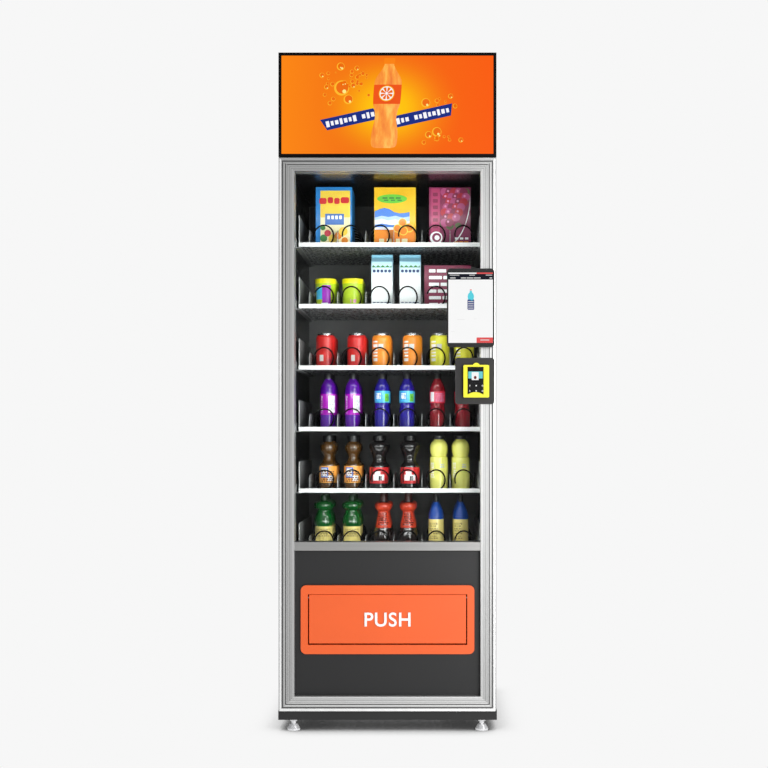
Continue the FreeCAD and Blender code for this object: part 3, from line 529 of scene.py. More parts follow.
def smooth_profile(points, steps=5):
    """A rounded line through given (radius, height) points."""
    out = []
    for k in range(len(points) - 1):
        before = points[max(k - 1, 0)]
        start = points[k]
        end = points[k + 1]
        after = points[min(k + 2, len(points) - 1)]
        for step in range(steps):
            t = step / steps
            value = []
            for axis in range(2):
                a, b, c, d = before[axis], start[axis], end[axis], after[axis]
                value.append(0.5 * (2 * b + (c - a) * t + (2 * a - 5 * b + 4 * c - d) * t * t
                                    + (3 * b - a - 3 * c + d) * t ** 3))
            out.append((max(value[0], 0.0005), value[1]))
    out.append(points[-1])
    return out


# Half outlines of the bottles, as (radius, height) in millimetres, from the foot to the neck.
SODA = [(17, 0), (22, 3), (25, 9), (26, 20), (26.2, 48), (25, 72), (23.4, 84), (25.6, 94), (26, 100),
        (26, 133), (24.6, 143), (21, 155), (15, 167), (12, 174), (12, 178)]
GRAPE = [(17, 0), (23, 3), (26, 9), (26.4, 20), (26.4, 50), (27, 60), (27, 123), (26.4, 135), (24.5, 148),
         (20, 160), (14, 169), (12.5, 172), (12.5, 178)]
HOURGLASS = [(20, 0), (26, 3), (29, 9), (29.6, 28), (30, 30), (30, 85), (26, 92), (20.6, 98), (15.6, 110),
             (17.5, 124), (24.5, 137), (26.5, 147), (25, 156), (20, 162), (16.5, 167), (16.5, 172)]
BULB = [(21, 0), (27, 3), (31, 9), (31, 26), (32, 28), (32, 80), (29, 87), (22, 97), (19.6, 107), (22, 120),
        (29, 136), (33, 148), (32.5, 156), (26, 163), (17, 169), (16.5, 174)]
GLOBE = [(21, 0), (27, 3), (30, 8), (30, 107), (25, 110), (23.5, 113), (25, 118), (28.4, 130), (30, 144),
         (28.5, 156), (23.5, 166), (17, 172), (16.5, 177)]
RINGED = [(21, 0), (27, 3), (30.5, 9), (30.5, 86), (32.8, 95), (32, 108), (29, 120), (24.5, 131),
          (21.6, 139), (25, 143), (31, 147), (33.4, 156), (31, 164), (24, 170), (14, 174), (12, 178)]
COLA = [(20, 0), (27, 3), (31, 9), (32, 20), (32, 48), (30, 64), (27.5, 78), (26.5, 92), (24, 102),
        (21.6, 112), (19.5, 124), (19, 136), (23, 140), (27, 146), (29, 152), (28, 160),
        (22, 165), (13, 169), (12, 173)]
CONE = [(20, 0), (24, 3), (26, 8), (26, 110), (25.6, 118), (24, 130), (20.6, 141), (15.5, 154), (11, 163),
        (8, 168), (7.5, 173)]


def even_rows(profile, step=0.0024):
    """The same outline with no face taller than a step, so that printed blocks have clean edges."""
    rows = [profile[0]]
    for radius, height in profile[1:]:
        last_radius, last_height = rows[-1]
        parts = max(1, math.ceil((height - last_height) / step))
        for k in range(1, parts + 1):
            share = k / parts
            rows.append((last_radius + (radius - last_radius) * share,
                         last_height + (height - last_height) * share))
    return rows


def printed(accents, angle, up, plain):
    """The finish of the last printed block that covers a point of a label, or the label's own."""
    for low_angle, high_angle, low_up, high_up, finish in reversed(accents):
        if low_angle <= angle <= high_angle and low_up <= up <= high_up:
            return finish
    return plain


def lines_of_print(left, right, low, high, rows, finish, seed):
    """Rows of short blocks that stand for small print."""
    chance = random.Random(seed)
    marks = []
    pitch = (high - low) / rows
    for row in range(rows):
        angle = left
        while angle < right - 5:
            long = chance.choice((6, 11, 16))
            end = min(angle + long, right)
            marks.append((angle, end, low + pitch * (row + 0.2), low + pitch * (row + 0.8), finish))
            angle = end + 5.5
    return marks


def queue(centre):
    """Where the same goods stand behind the first one, a turn of the spiral apart."""
    return [(centre[0], centre[1] + COIL_PITCH * k, centre[2]) for k in range(1, COPIES)]


def angle_round(middle, centre):
    """Degrees round an upright axis, from the front."""
    return math.degrees(math.atan2(middle.x - centre[0], centre[1] - middle.y))


def bottle(name, tray, x, outline, body, label, label_span, accents, cap, cap_wide, cap_low, height):
    """A turned bottle with a printed label band and a ribbed cap. Sizes are in millimetres."""
    base = TRAY_LIPS[tray] - PAN_DROP
    widest = max(radius for radius, _ in outline) / 1000
    centre = (x, STOCK_FRONT + widest, base)
    low, high = (value / 1000 for value in label_span)
    points = [(radius / 1000, up / 1000) for radius, up in outline]

    def plain(middle):
        return label if low <= middle.z - base <= high else body

    def with_print(middle):
        up = middle.z - base
        if not low <= up <= high:
            return body
        return printed(accents, angle_round(middle, centre), (up - low) / (high - low), label)

    made = Shape()
    cap_base = cap_low / 1000
    top = height / 1000
    rim = cap_wide / 2000
    for behind in queue(centre):
        made.lathe(even_rows(smooth_profile(points, 3), 0.006), behind, plain, segments=32)
        made.lathe([(rim, cap_base), (rim, top)], behind, cap, segments=24)
    made.lathe(even_rows(smooth_profile(points)), centre, with_print, segments=72)
    made.lathe([(rim * 1.05, cap_base), (rim * 1.05, cap_base + 0.003), (rim * 0.97, cap_base + 0.0036),
                (rim, cap_base + 0.0045)], centre, cap, segments=48)
    ribs = [(rim, cap_base + 0.0045), (rim, top - 0.0016), (rim * 0.93, top)]
    made.lathe(ribs, centre, cap, segments=72, flute=0.018)
    made.piece(name, f"tray_{tray + 1}", "tray_paint")


def can(name, tray, x, body, accents):
    """A drinks can: necked ends, a recessed top with a rim, and blocks of colour on the wall."""
    base = TRAY_LIPS[tray] - PAN_DROP
    radius = 0.033
    centre = (x, STOCK_FRONT + radius, base)
    wall = [(0.024, 0.0), (0.0255, 0.002), (0.0325, 0.009), (radius, 0.013)]
    wall += [(radius, 0.013 + 0.0945 * k / 18) for k in range(1, 19)]
    wall += [(0.031, 0.1125), (0.0275, 0.1165)]

    def paint_at(middle):
        if middle.z - base < 0.006:
            return "can_metal"
        return printed(accents, angle_round(middle, centre), middle.z - base, body)

    made = Shape()
    for behind in queue(centre):
        made.lathe(wall, behind, body, segments=36)
    made.lathe(wall, centre, paint_at, segments=72)
    rim = [(0.0275, 0.1165), (0.0275, 0.1225), (0.0268, 0.1236), (0.0258, 0.1225), (0.0255, 0.119),
           (0.012, 0.1185)]
    made.lathe(rim, centre, "can_metal")
    made.piece(name, f"tray_{tray + 1}", "tray_paint")


def tub(name, tray, x, accents):
    """A lime tub with blocks of colour on its wall and a yellow lid."""
    base = TRAY_LIPS[tray] - PAN_DROP
    radius = 0.0362
    centre = (x, STOCK_FRONT + radius, base)
    wall = [(0.030, 0.0), (0.0335, 0.003)]
    wall += [(0.0335 + 0.0012 * k / 14, 0.003 + 0.083 * k / 14) for k in range(1, 15)]

    def paint_at(middle):
        return printed(accents, angle_round(middle, centre), middle.z - base, "tub_green")

    made = Shape()
    for behind in queue(centre):
        made.lathe(wall + [(radius, 0.0865), (radius, 0.1025)], behind, "tub_green", segments=36)
    made.lathe(wall, centre, paint_at, segments=64)
    lid = [(0.0347, 0.086), (radius, 0.0865), (radius, 0.1005), (0.0352, 0.1025), (0.033, 0.1025),
           (0.0325, 0.1005), (0.012, 0.1005)]
    made.lathe(lid, centre, "tub_yellow", segments=64)
    made.piece(name, f"tray_{tray + 1}", "tray_paint")


def carton(name, tray, x):
    """A gable-topped drink carton with a pale front and a sealed top fin."""
    base = TRAY_LIPS[tray] - PAN_DROP
    half = 0.0355
    front = STOCK_FRONT
    deep = 0.060
    middle = front + deep / 2
    made = Shape()
    corners = []
    for thick, rise in ((deep, 0.0), (deep, 0.158), (0.002, 0.176), (0.002, 0.185)):
        near = middle - thick / 2
        far = middle + thick / 2
        corners += [(x + side, deep_at, base + rise)
                    for side, deep_at in ((-half, near), (half, near), (half, far), (-half, far))]
    faces = [[3, 2, 1, 0]]
    for ring in (0, 4, 8):
        faces += [[ring + k, ring + (k + 1) % 4, ring + 4 + (k + 1) % 4, ring + 4 + k] for k in range(4)]
    faces.append([12, 13, 14, 15])
    for k in range(COPIES):
        made.add([(a, b + COIL_PITCH * k, c) for a, b, c in corners], faces, "carton_fade")
    for height, tall in ((base + 0.122, 0.010), (base + 0.020, 0.003)):
        for k in range(5):
            start = x - half + 0.005 + k * 0.0128
            block = rounded(start, start + 0.0095, height, height + tall, tall * 0.3, 3)
            made.slab(block, front - 0.0003, front, "label_navy")
    hill = [(x - half + 0.003, base + 0.139)]
    hill += [(x - half + 0.003 + 0.065 * k / 20, base + 0.144 + 0.003 * math.sin(k * 1.3))
             for k in range(21)]
    hill += [(x + half - 0.003, base + 0.139)]
    made.slab(hill, front - 0.0003, front, "label_leaf")
    made.piece(name, f"tray_{tray + 1}", "tray_paint", smooth=20, bevel=0.0006)


def pack(name, tray, x, wide, tall, ground, draw):
    """A cardboard box with printed shapes on its front."""
    base = TRAY_LIPS[tray] - PAN_DROP
    low = x - wide / 2
    card = rounded(low, low + wide, base, base + tall, 0.0008, 2)
    made = Shape()
    for k in range(COPIES):
        front = STOCK_FRONT + COIL_PITCH * k
        made.slab(card, front, front + PACK_DEEP, ground, edge=0.0006)
    art = Art(low, base, wide, tall)
    draw(art)
    for level, (outline, finish) in enumerate(art.shapes):
        made.layer(outline, STOCK_FRONT, level, finish)
    made.piece(name, f"tray_{tray + 1}", "tray_paint", smooth=20)


class Art:
    """Printed shapes on a pack's front, placed by shares of its width and height, the lowest one first."""

    def __init__(self, low, base, wide, tall):
        self.low = low
        self.base = base
        self.wide = wide
        self.tall = tall
        self.shapes = []

    def point(self, across, up):
        return self.low + self.wide * across, self.base + self.tall * up

    def box(self, finish, left, right, bottom, top, radius=0.001):
        low_x, low_z = self.point(left, bottom)
        high_x, high_z = self.point(right, top)
        self.shapes.append((rounded(low_x, high_x, low_z, high_z, radius, 4), finish))

    def spot(self, finish, across, up, size, flatten=1.0):
        """A disc with its radius as a share of the pack's width."""
        radius = self.wide * size
        self.shapes.append((disc(*self.point(across, up), radius, radius * flatten), finish))

    def ridge(self, finish, right, floor, skyline):
        """A skyline from the left edge to a place on the right, which fills down to a level floor."""
        left = 0.01
        line = [self.point(left + (right - left) * across, up) for across, up in skyline]
        self.shapes.append(([self.point(left, floor)] + line + [self.point(right, floor)], finish))


def fruit_art(art):
    art.box("label_cream", 0.13, 0.95, 0.03, 0.94)
    art.box("label_sun", 0.13, 0.95, 0.50, 0.94, 0.004)
    for k, (left, right) in enumerate(((0.10, 0.30), (0.33, 0.48), (0.51, 0.66), (0.69, 0.92))):
        rise = 0.72 + 0.012 * (k % 2)
        art.box("label_red", left, right, rise, rise + 0.10, 0.006)
    art.box("label_blue", 0.26, 0.78, 0.38, 0.56)
    for k in range(4):
        left = 0.32 + k * 0.11
        art.box("label_white", left, left + 0.07, 0.47, 0.53, 0.002)
    for fruit in (("label_leaf", 0.22, 0.16, 0.10), ("label_cherry", 0.33, 0.24, 0.09),
                  ("label_sun", 0.47, 0.15, 0.12), ("label_amber", 0.62, 0.20, 0.10),
                  ("label_sun", 0.76, 0.27, 0.12), ("label_amber", 0.80, 0.12, 0.09),
                  ("label_leaf", 0.20, 0.33, 0.07), ("label_cherry", 0.60, 0.07, 0.06)):
        art.spot(*fruit)


def tea_art(art):
    art.box("label_amber", 0.01, 0.99, 0.01, 0.30)
    art.spot("label_lime", 0.43, 0.81, 0.36, 0.30357)
    for left in (0.20, 0.36, 0.52):
        art.box("label_leaf", left, left + 0.12, 0.81, 0.835, 0.0008)
        art.box("label_leaf", left + 0.04, left + 0.14, 0.775, 0.795, 0.0008)
    art.ridge("label_sky", 0.85, 0.30, ((0, 0.60), (0.15, 0.64), (0.28, 0.66), (0.42, 0.64), (0.56, 0.59),
                                        (0.70, 0.57), (0.85, 0.575), (1, 0.59)))
    art.ridge("label_pale", 0.85, 0.30,
              ((0, 0.50), (0.2, 0.53), (0.4, 0.51), (0.6, 0.53), (0.8, 0.50), (1, 0.52)))
    art.ridge("label_white", 0.85, 0.30,
              ((0, 0.46), (0.2, 0.48), (0.4, 0.45), (0.6, 0.47), (0.8, 0.43), (1, 0.44)))
    art.ridge("label_sky", 0.62, 0.34, ((0, 0.38), (0.3, 0.40), (0.6, 0.38), (1, 0.37)))
    for across, up, size in ((0.68, 0.42, 0.10), (0.56, 0.32, 0.10), (0.84, 0.33, 0.11),
                             (0.70, 0.28, 0.11)):
        art.spot("label_sun", across, up, size)
        art.spot("label_amber", across, up, size * 0.8)
    for left, right in ((0.12, 0.24), (0.30, 0.42), (0.52, 0.62), (0.66, 0.80)):
        art.box("label_cream", left, right, 0.06, 0.15, 0.0015)


def grape_art(art):
    art.box("label_plum", 0.27, 0.98, 0.30, 0.97)
    art.box("label_rosy", 0.05, 0.26, 0.12, 0.98)
    for k in range(7):
        up = 0.22 + 0.105 * k
        art.box("label_berry", 0.09, 0.21, up, up + 0.06, 0.0012)
    for across, up, size in ((0.86, 0.92, 0.13), (0.97, 0.86, 0.10), (0.34, 0.40, 0.09), (0.50, 0.35, 0.09),
                             (0.70, 0.37, 0.08), (0.86, 0.78, 0.09)):
        art.spot("label_olive", min(across, 0.98 - size), up, size, 0.8)
    for row in range(7):
        for column in range(5):
            across = 0.37 + column * 0.115 + (0.05 if row % 2 else 0.0)
            up = 0.92 - row * 0.085
            if across + (0.92 - up) * 0.75 > 0.98:
                continue
            finish = ("label_grape", "label_berry", "label_cherry")[(row * 2 + column) % 3]
            art.spot(finish, across, up, 0.098)
            if (row + column) % 2:
                art.spot("label_pink", across - 0.03, up + 0.016, 0.026)
    for inner, finish in ((0.0, "label_white"), (0.014, "label_magenta")):
        swoop = []
        for k in range(19):
            turn = math.radians(90 * k / 18)
            across = min(0.985 - 0.62 * (1 - math.cos(turn)) + inner * 1.2, 0.985)
            swoop.append(art.point(across, 0.93 - 0.90 * math.sin(turn) - inner))
        art.shapes.append((swoop + [art.point(0.985, 0.02)], finish))
    for emblem in (("label_white", 0.17, 0.16, 0.15), ("label_magenta", 0.18, 0.165, 0.11),
                   ("label_white", 0.19, 0.16, 0.06)):
        art.spot(*emblem)
    for left in (0.60, 0.72, 0.84):
        art.box("label_amber", left, left + 0.10, 0.06, 0.10)
        art.box("label_white", left + 0.02, left + 0.10, 0.13, 0.165)


def berry_art(art):
    rows = ((0.20, 0.22), (0.26, 0.14), (0.16, 0.24), (0.22, 0.18), (0.28, 0.12), (0.14, 0.20))
    for k, lengths in enumerate(rows):
        bottom = 0.06 + k * 0.155
        left = 0.10
        for length in lengths:
            art.box("label_white", left, left + length, bottom, bottom + 0.075, 0.002)
            left += length + 0.03


def label_tones():
    tones = {
        "label_cream": (250, 240, 190), "label_sun": (252, 214, 70), "label_red": (214, 34, 40),
        "label_blue": (54, 110, 190), "label_white": (246, 246, 248), "label_leaf": (60, 130, 60),
        "label_cherry": (190, 40, 60), "label_amber": (244, 140, 24), "label_lime": (110, 205, 60),
        "label_sky": (70, 130, 220), "label_olive": (92, 100, 60), "label_plum": (150, 44, 90),
        "label_grape": (186, 74, 128), "label_berry": (140, 40, 80), "label_pink": (222, 140, 182),
        "label_magenta": (128, 30, 76), "label_navy": (38, 62, 110), "label_cyan": (70, 190, 235),
        "label_violet": (160, 30, 190), "label_pale": (176, 208, 236),
        "label_rosy": (186, 60, 108), "label_grey": (190, 196, 196),
        "pack_blue": (30, 130, 205), "pack_yellow": (250, 196, 20), "pack_magenta": (140, 34, 84),
        "pack_burgundy": (128, 26, 66), "tub_green": (190, 220, 40), "tub_yellow": (246, 240, 20),
        "can_red": (208, 34, 32), "can_orange": (252, 150, 40), "can_yellow": (236, 232, 60),
        "can_silver": (214, 214, 210),
        "bottle_purple": (84, 0, 150), "bottle_magenta": (176, 16, 186), "bottle_blue": (32, 20, 138),
        "bottle_red": (138, 16, 30), "bottle_brown": (78, 50, 16), "bottle_black": (22, 18, 19),
        "bottle_pale": (240, 238, 120), "bottle_green": (4, 82, 26), "bottle_cola": (26, 14, 12),
        "bottle_cream": (246, 228, 138), "cap_dark": (15, 14, 16), "cap_green": (8, 44, 18),
        "cap_red": (205, 62, 34), "cap_blue": (16, 70, 160), "label_orange": (246, 168, 70),
        "label_rose": (226, 40, 70), "cap_maroon": (52, 10, 10), "label_brown": (120, 66, 20),
        "label_tan": (176, 156, 84), "label_plumlight": (188, 60, 200),
    }
    for name, color in tones.items():
        glossy = name.startswith("bottle")
        tone(name, rgb(*color), rough=0.18 if glossy else 0.36, coat=0.6 if glossy else 0.15, mottle=0.05,
             mottle_scale=30.0, grain=300.0, bump=0.02)
    MATERIALS["can_metal"] = surface("can_metal", rgb(205, 206, 208), 0.25, metal=1.0, grain=200.0)
    MATERIALS["carton_fade"] = fade_up("carton_fade", TRAY_LIPS[1] + 0.02, TRAY_LIPS[1] + 0.165,
                                       rgb(244, 248, 248), rgb(140, 206, 232))


def fade_up(name, low, high, bottom, top):
    """A printed card finish whose colour changes with height."""
    material = surface(name, bottom, 0.4, coat=0.2, grain=300.0, bump=0.02)
    tree = material.node_tree
    tint = ramp(tree, share_along(tree, "Z", low, high),
                [(0.0, bottom), (0.45, lighter(bottom, 0.97)), (1.0, top)])
    fill(tree, tree.nodes["Principled BSDF"], {"Base Color": tint})
    return material


def stock():
    """One row of goods for each tray, standing just behind the first turn of the spirals."""
    label_tones()
    pack("pack_fruit", 0, LANE_X[0] + 0.032, 0.122, 0.205, "pack_blue", fruit_art)
    pack("pack_tea", 0, LANE_X[2] + 0.050, 0.140, 0.204, "pack_yellow", tea_art)
    pack("pack_grape", 0, LANE_X[4] + 0.047, 0.140, 0.204, "pack_magenta", grape_art)
    berry_print = [(-60, -18, 0.03, 0.075, "label_cyan"), (-15, 32, 0.0, 0.08, "label_violet"),
                   (-20, 18, 0.006, 0.020, "label_white")]
    lime_print = [(-14, -4, 0.02, 0.032, "label_pink"), (8, 24, 0.018, 0.03, "label_pink")]
    tub("tub_berry", 1, LANE_X[0] + 0.002, berry_print)
    tub("tub_lime", 1, LANE_X[1], lime_print)
    carton("carton_first", 1, LANE_X[2] + 0.006)
    carton("carton_second", 1, LANE_X[3] + 0.007)
    pack("pack_berry", 1, LANE_X[4] + 0.039, 0.156, 0.146, "pack_burgundy", berry_art)
    stripes = [(-62, -26, 0.030 + 0.012 * k, 0.037 + 0.012 * k, "label_white") for k in range(6)]
    shifts = (0.0025, 0.0147, 0.0049, 0.0147, 0.0133, 0.0025)
    bodies = ("can_red", "can_red", "can_orange", "can_orange", "can_yellow", "can_yellow")
    for lane in range(LANES):
        marks = stripes + [(-20, 8, 0.070, 0.084, "can_silver")]
        if lane < 2:
            marks = [(-34, -10, 0.030, 0.048, "can_silver"), (20, 60, 0.02, 0.04, "label_cherry")]
        can(f"can_{lane + 1}", 2, LANE_X[lane] + shifts[lane], bodies[lane], marks)
    bottle_rows()


def bottle_rows():
    """The three lower trays: two bottles of each of nine drinks, each row ending with their two shifts."""
    grape_print = [(-58, -34, 0.06, 0.95, "label_plumlight"), (4, 62, 0.12, 0.92, "label_white")]
    grape_print += lines_of_print(-54, -38, 0.08, 0.92, 9, "label_white", 1)
    grape_print += lines_of_print(10, 58, 0.18, 0.86, 9, "label_grey", 2)
    sky_print = [(-50, -10, 0.30, 0.80, "label_white"), (22, 62, 0.08, 0.75, "label_lime")]
    sky_print += lines_of_print(-70, 10, 0.05, 0.95, 6, "label_sky", 3)
    sky_print += lines_of_print(28, 58, 0.15, 0.65, 4, "label_leaf", 4)
    rose_print = [(-62, -26, 0.15, 0.95, "label_white")]
    rose_print += lines_of_print(-16, 60, 0.10, 0.90, 5, "label_pink", 5)
    ember_print = [(-50, 4, 0.30, 0.95, "label_sky"), (-44, -4, 0.40, 0.85, "label_white"),
                   (0, 40, 0.10, 0.45, "label_white")]
    ember_print += lines_of_print(-44, 44, 0.05, 0.75, 6, "label_brown", 6)
    dark_print = [(-36, 36, 0.15, 0.55, "label_white"), (-24, 8, 0.45, 0.75, "label_white"),
                  (2, 18, 0.15, 0.45, "bottle_black"), (-52, -40, 0.05, 0.95, "bottle_black"),
                  (44, 52, 0.05, 0.4, "bottle_black")]
    pale_print = lines_of_print(-62, -28, 0.35, 0.92, 7, "label_white", 7)
    pale_print += lines_of_print(12, 40, 0.72, 0.88, 2, "label_grey", 8)
    leaf_print = lines_of_print(-50, 50, 0.55, 0.92, 4, "label_tan", 9)
    cola_print = lines_of_print(-46, 46, 0.10, 0.62, 7, "bottle_cola", 10)
    cream_print = lines_of_print(-60, 10, 0.20, 0.90, 9, "label_tan", 11)
    rows = {
        "soda": ((GRAPE, "bottle_purple", "bottle_magenta", (52, 122), grape_print,
                  "cap_dark", 27, 174, 193, 0.011, 0.001),
                 (SODA, "bottle_blue", "label_cyan", (94, 133), sky_print,
                  "cap_dark", 27, 174, 193, 0.006, -0.004),
                 (SODA, "bottle_red", "label_rose", (92, 131), rose_print,
                  "cap_dark", 27, 174, 193, 0.005, -0.004)),
        "shake": ((HOURGLASS, "bottle_brown", "label_orange", (28, 84), ember_print,
                   "cap_dark", 37, 167, 188, 0.011, 0.001),
                  (BULB, "bottle_black", "label_red", (27, 80), dark_print,
                   "cap_dark", 41, 171, 188, -0.005, 0.006),
                  (GLOBE, "bottle_pale", "bottle_pale", (12, 104), pale_print,
                   "cap_dark", 41, 174, 188, 0.010, -0.010)),
        "juice": ((RINGED, "bottle_green", "bottle_cream", (6, 86), leaf_print,
                   "cap_green", 25, 174, 190, -0.004, -0.002),
                  (COLA, "bottle_cola", "cap_red", (81, 166), cola_print,
                   "cap_maroon", 25, 168, 194, 0.010, 0.0),
                  (CONE, "cap_blue", "bottle_cream", (4, 110), cream_print,
                   "cap_dark", 16, 168, 190, 0.001, -0.010))}
    for tray, (kind, drinks) in enumerate(rows.items(), FIRST_BOTTLES):
        for lane in range(LANES):
            *look, first, second = drinks[lane // 2]
            x = LANE_X[lane] + (second if lane % 2 else first)
            bottle(f"{kind}_{lane + 1}", tray, x, *look)


# Header picture

def header_picture():
    """A plain bottle, bubbles and two banner strips on the lit display."""
    front = DISPLAY_LOW.y
    middle_x = (DISPLAY_LOW.x + DISPLAY_HIGH.x) / 2
    banners = Shape()
    for x, z, long, lean in ((-0.118, 1.939, 0.172, -0.0075), (0.112, 1.950, 0.186, 0.006)):
        banners.slab(strip(x, z, long, 0.037, lean, 12.5), front - 0.0006, front - 0.0002, "lit_navy")
        blocks = int(long / 0.0155)
        for k in range(blocks):
            if k == round(blocks * 0.62 if x < 0 else blocks * 0.22):
                continue
            share = (k - (blocks - 1) / 2) * 0.0142
            mark_z = z + share * math.tan(math.radians(12.5))
            tall = (0.019, 0.014, 0.013)[k % 3]
            mark = strip(x + share, mark_z, 0.0105 - 0.002 * (k % 2), tall, 0.0, 12.5)
            banners.slab(mark, front - 0.0009, front - 0.0006, "lit_white")
    banners.piece("header_banners", "cabinet", "display_panel")
    bottle_shape = Shape()
    base = 1.848
    outline = [(0.024, 0.0), (0.038, 0.006), (0.042, 0.030), (0.040, 0.058), (0.034, 0.092), (0.037, 0.120),
               (0.043, 0.145), (0.0435, 0.200), (0.039, 0.222), (0.024, 0.246), (0.0155, 0.262),
               (0.0155, 0.270)]

    def paint_at(middle):
        up = middle.z - base
        return "lit_label" if 0.142 < up < 0.202 else "lit_juice"

    centre = (middle_x - 0.013, front - 0.0006, base)
    bottle_shape.lathe(smooth_profile(outline, 6), centre, paint_at, segments=48, flatten=0.06)
    cap = [(0.0175, 0.266), (0.0175, 0.2825), (0.016, 0.2845)]
    bottle_shape.lathe(cap, centre, "lit_cap", segments=32, flatten=0.06)
    fruit_slice(bottle_shape, centre[0] - 0.002, base + 0.172, front - 0.0038)
    bottle_shape.corners = [(x + (z - base) * BOTTLE_LEAN, y, z) for x, y, z in bottle_shape.corners]
    bottle_shape.piece("header_bottle", "cabinet", "display_panel")
    bubbles(front)


def fruit_slice(made, x, z, front):
    """A plain cut fruit: a gold rind, pale pith and eight amber segments."""
    made.slab(disc(x, z, 0.025), front - 0.0004, front, "lit_gold")
    made.slab(disc(x, z, 0.022), front - 0.0008, front - 0.0004, "lit_white")
    for k in range(8):
        wedge = []
        for angle, reach in ((6, 0.004), (6, 0.019), (22, 0.020), (38, 0.019), (38, 0.004)):
            turn = math.radians(angle + 45 * k)
            wedge.append((x + reach * math.cos(turn), z + reach * math.sin(turn)))
        made.slab(wedge, front - 0.0012, front - 0.0008, "lit_amber")


def lit_juice():
    """The drawn bottle's juice, in upright light and dark streaks."""
    material, tree, shader = blank("lit_juice")
    streaks = noise(tree, coordinates(tree, (18, 18, 5)), 3.0)
    tint = ramp(tree, streaks,
                [(0.3, rgb(236, 116, 10)), (0.5, rgb(250, 150, 34)), (0.7, rgb(255, 200, 84))])
    fill(tree, shader, {"Emission Color": tint, "Emission Strength": 1.0, "Base Color": grey(0.01)})
    return material


def bubbles(front):
    """Rings of light scattered in clouds beside the bottle, clear of the banners."""
    made = Shape()
    spots = [(-0.145, 2.038, 0.0240), (-0.124, 2.002, 0.0150), (-0.148, 2.106, 0.0125),
             (0.121, 1.991, 0.0145), (0.082, 1.918, 0.0200), (0.156, 1.899, 0.0150),
             (0.170, 1.979, 0.0200), (0.130, 1.890, 0.0110)]
    clouds = ((-0.105, 2.066, 0.070, 0.050, 34), (-0.190, 2.050, 0.040, 0.060, 10),
              (0.165, 1.985, 0.050, 0.040, 18), (0.150, 1.886, 0.060, 0.022, 14))
    for cloud_x, cloud_z, wide, tall, count in clouds:
        for _ in range(count):
            spots.append((random.gauss(cloud_x, wide / 2), random.gauss(cloud_z, tall / 2),
                          random.uniform(0.0020, 0.0080)))
    for x, z, radius in spots:
        across = x - math.copysign(0.118, x)
        banner = 1.944 + math.copysign(0.006, x) + across * math.tan(math.radians(12.5))
        clear = abs(z - banner) > radius + 0.018 or abs(across) > 0.085
        if abs(x) > 0.055 + radius and clear and z - radius > DISPLAY_LOW.z + 0.004:
            ring(made, x, z, radius, front)
    made.piece("header_bubbles", "cabinet", "display_panel")


def ring(made, x, z, radius, front):
    """One bubble: a bright rim, an amber inside and a small highlight."""
    made.layer(disc(x, z, radius, steps=24), front, 1, "lit_gold")
    made.layer(disc(x + radius * 0.08, z + radius * 0.06, radius * 0.80, steps=24), front, 2, "lit_amber")
    if radius > 0.007:
        glint = disc(x + radius * 0.35, z - radius * 0.45, radius * 0.26, steps=12)
        made.layer(glint, front, 3, "lit_glint")


# Tablet, reader and flap print

def lit_tones():
    """The glowing colours of the header picture, the touch menu and the card reader."""
    MATERIALS["lit_juice"] = lit_juice()
    for name, color, *how in (
            ("lit_navy", (22, 44, 130)), ("lit_white", (250, 250, 255)), ("lit_cap", (250, 130, 10)),
            ("lit_label", (238, 84, 20)), ("lit_gold", (255, 186, 44)), ("lit_amber", (238, 108, 8)),
            ("lit_glint", (255, 236, 140)), ("ui_white", (252, 252, 252), 0.95, 0.005),
            ("ui_navy", (16, 18, 32)), ("ui_red", (226, 84, 84)), ("ui_cyan", (90, 210, 225)),
            ("ui_ink", (60, 70, 130)), ("ui_grey", (216, 216, 216)), ("reader_cyan", (120, 216, 226), 0.9),
            ("reader_brown", (110, 30, 24), 0.9), ("reader_line", (34, 33, 38), 0.7)):
        MATERIALS[name] = glowing(name, rgb(*color), *how)
    tone("insert_black", rgb(10, 9, 12), 0.3, 0.05, specular=0.15)


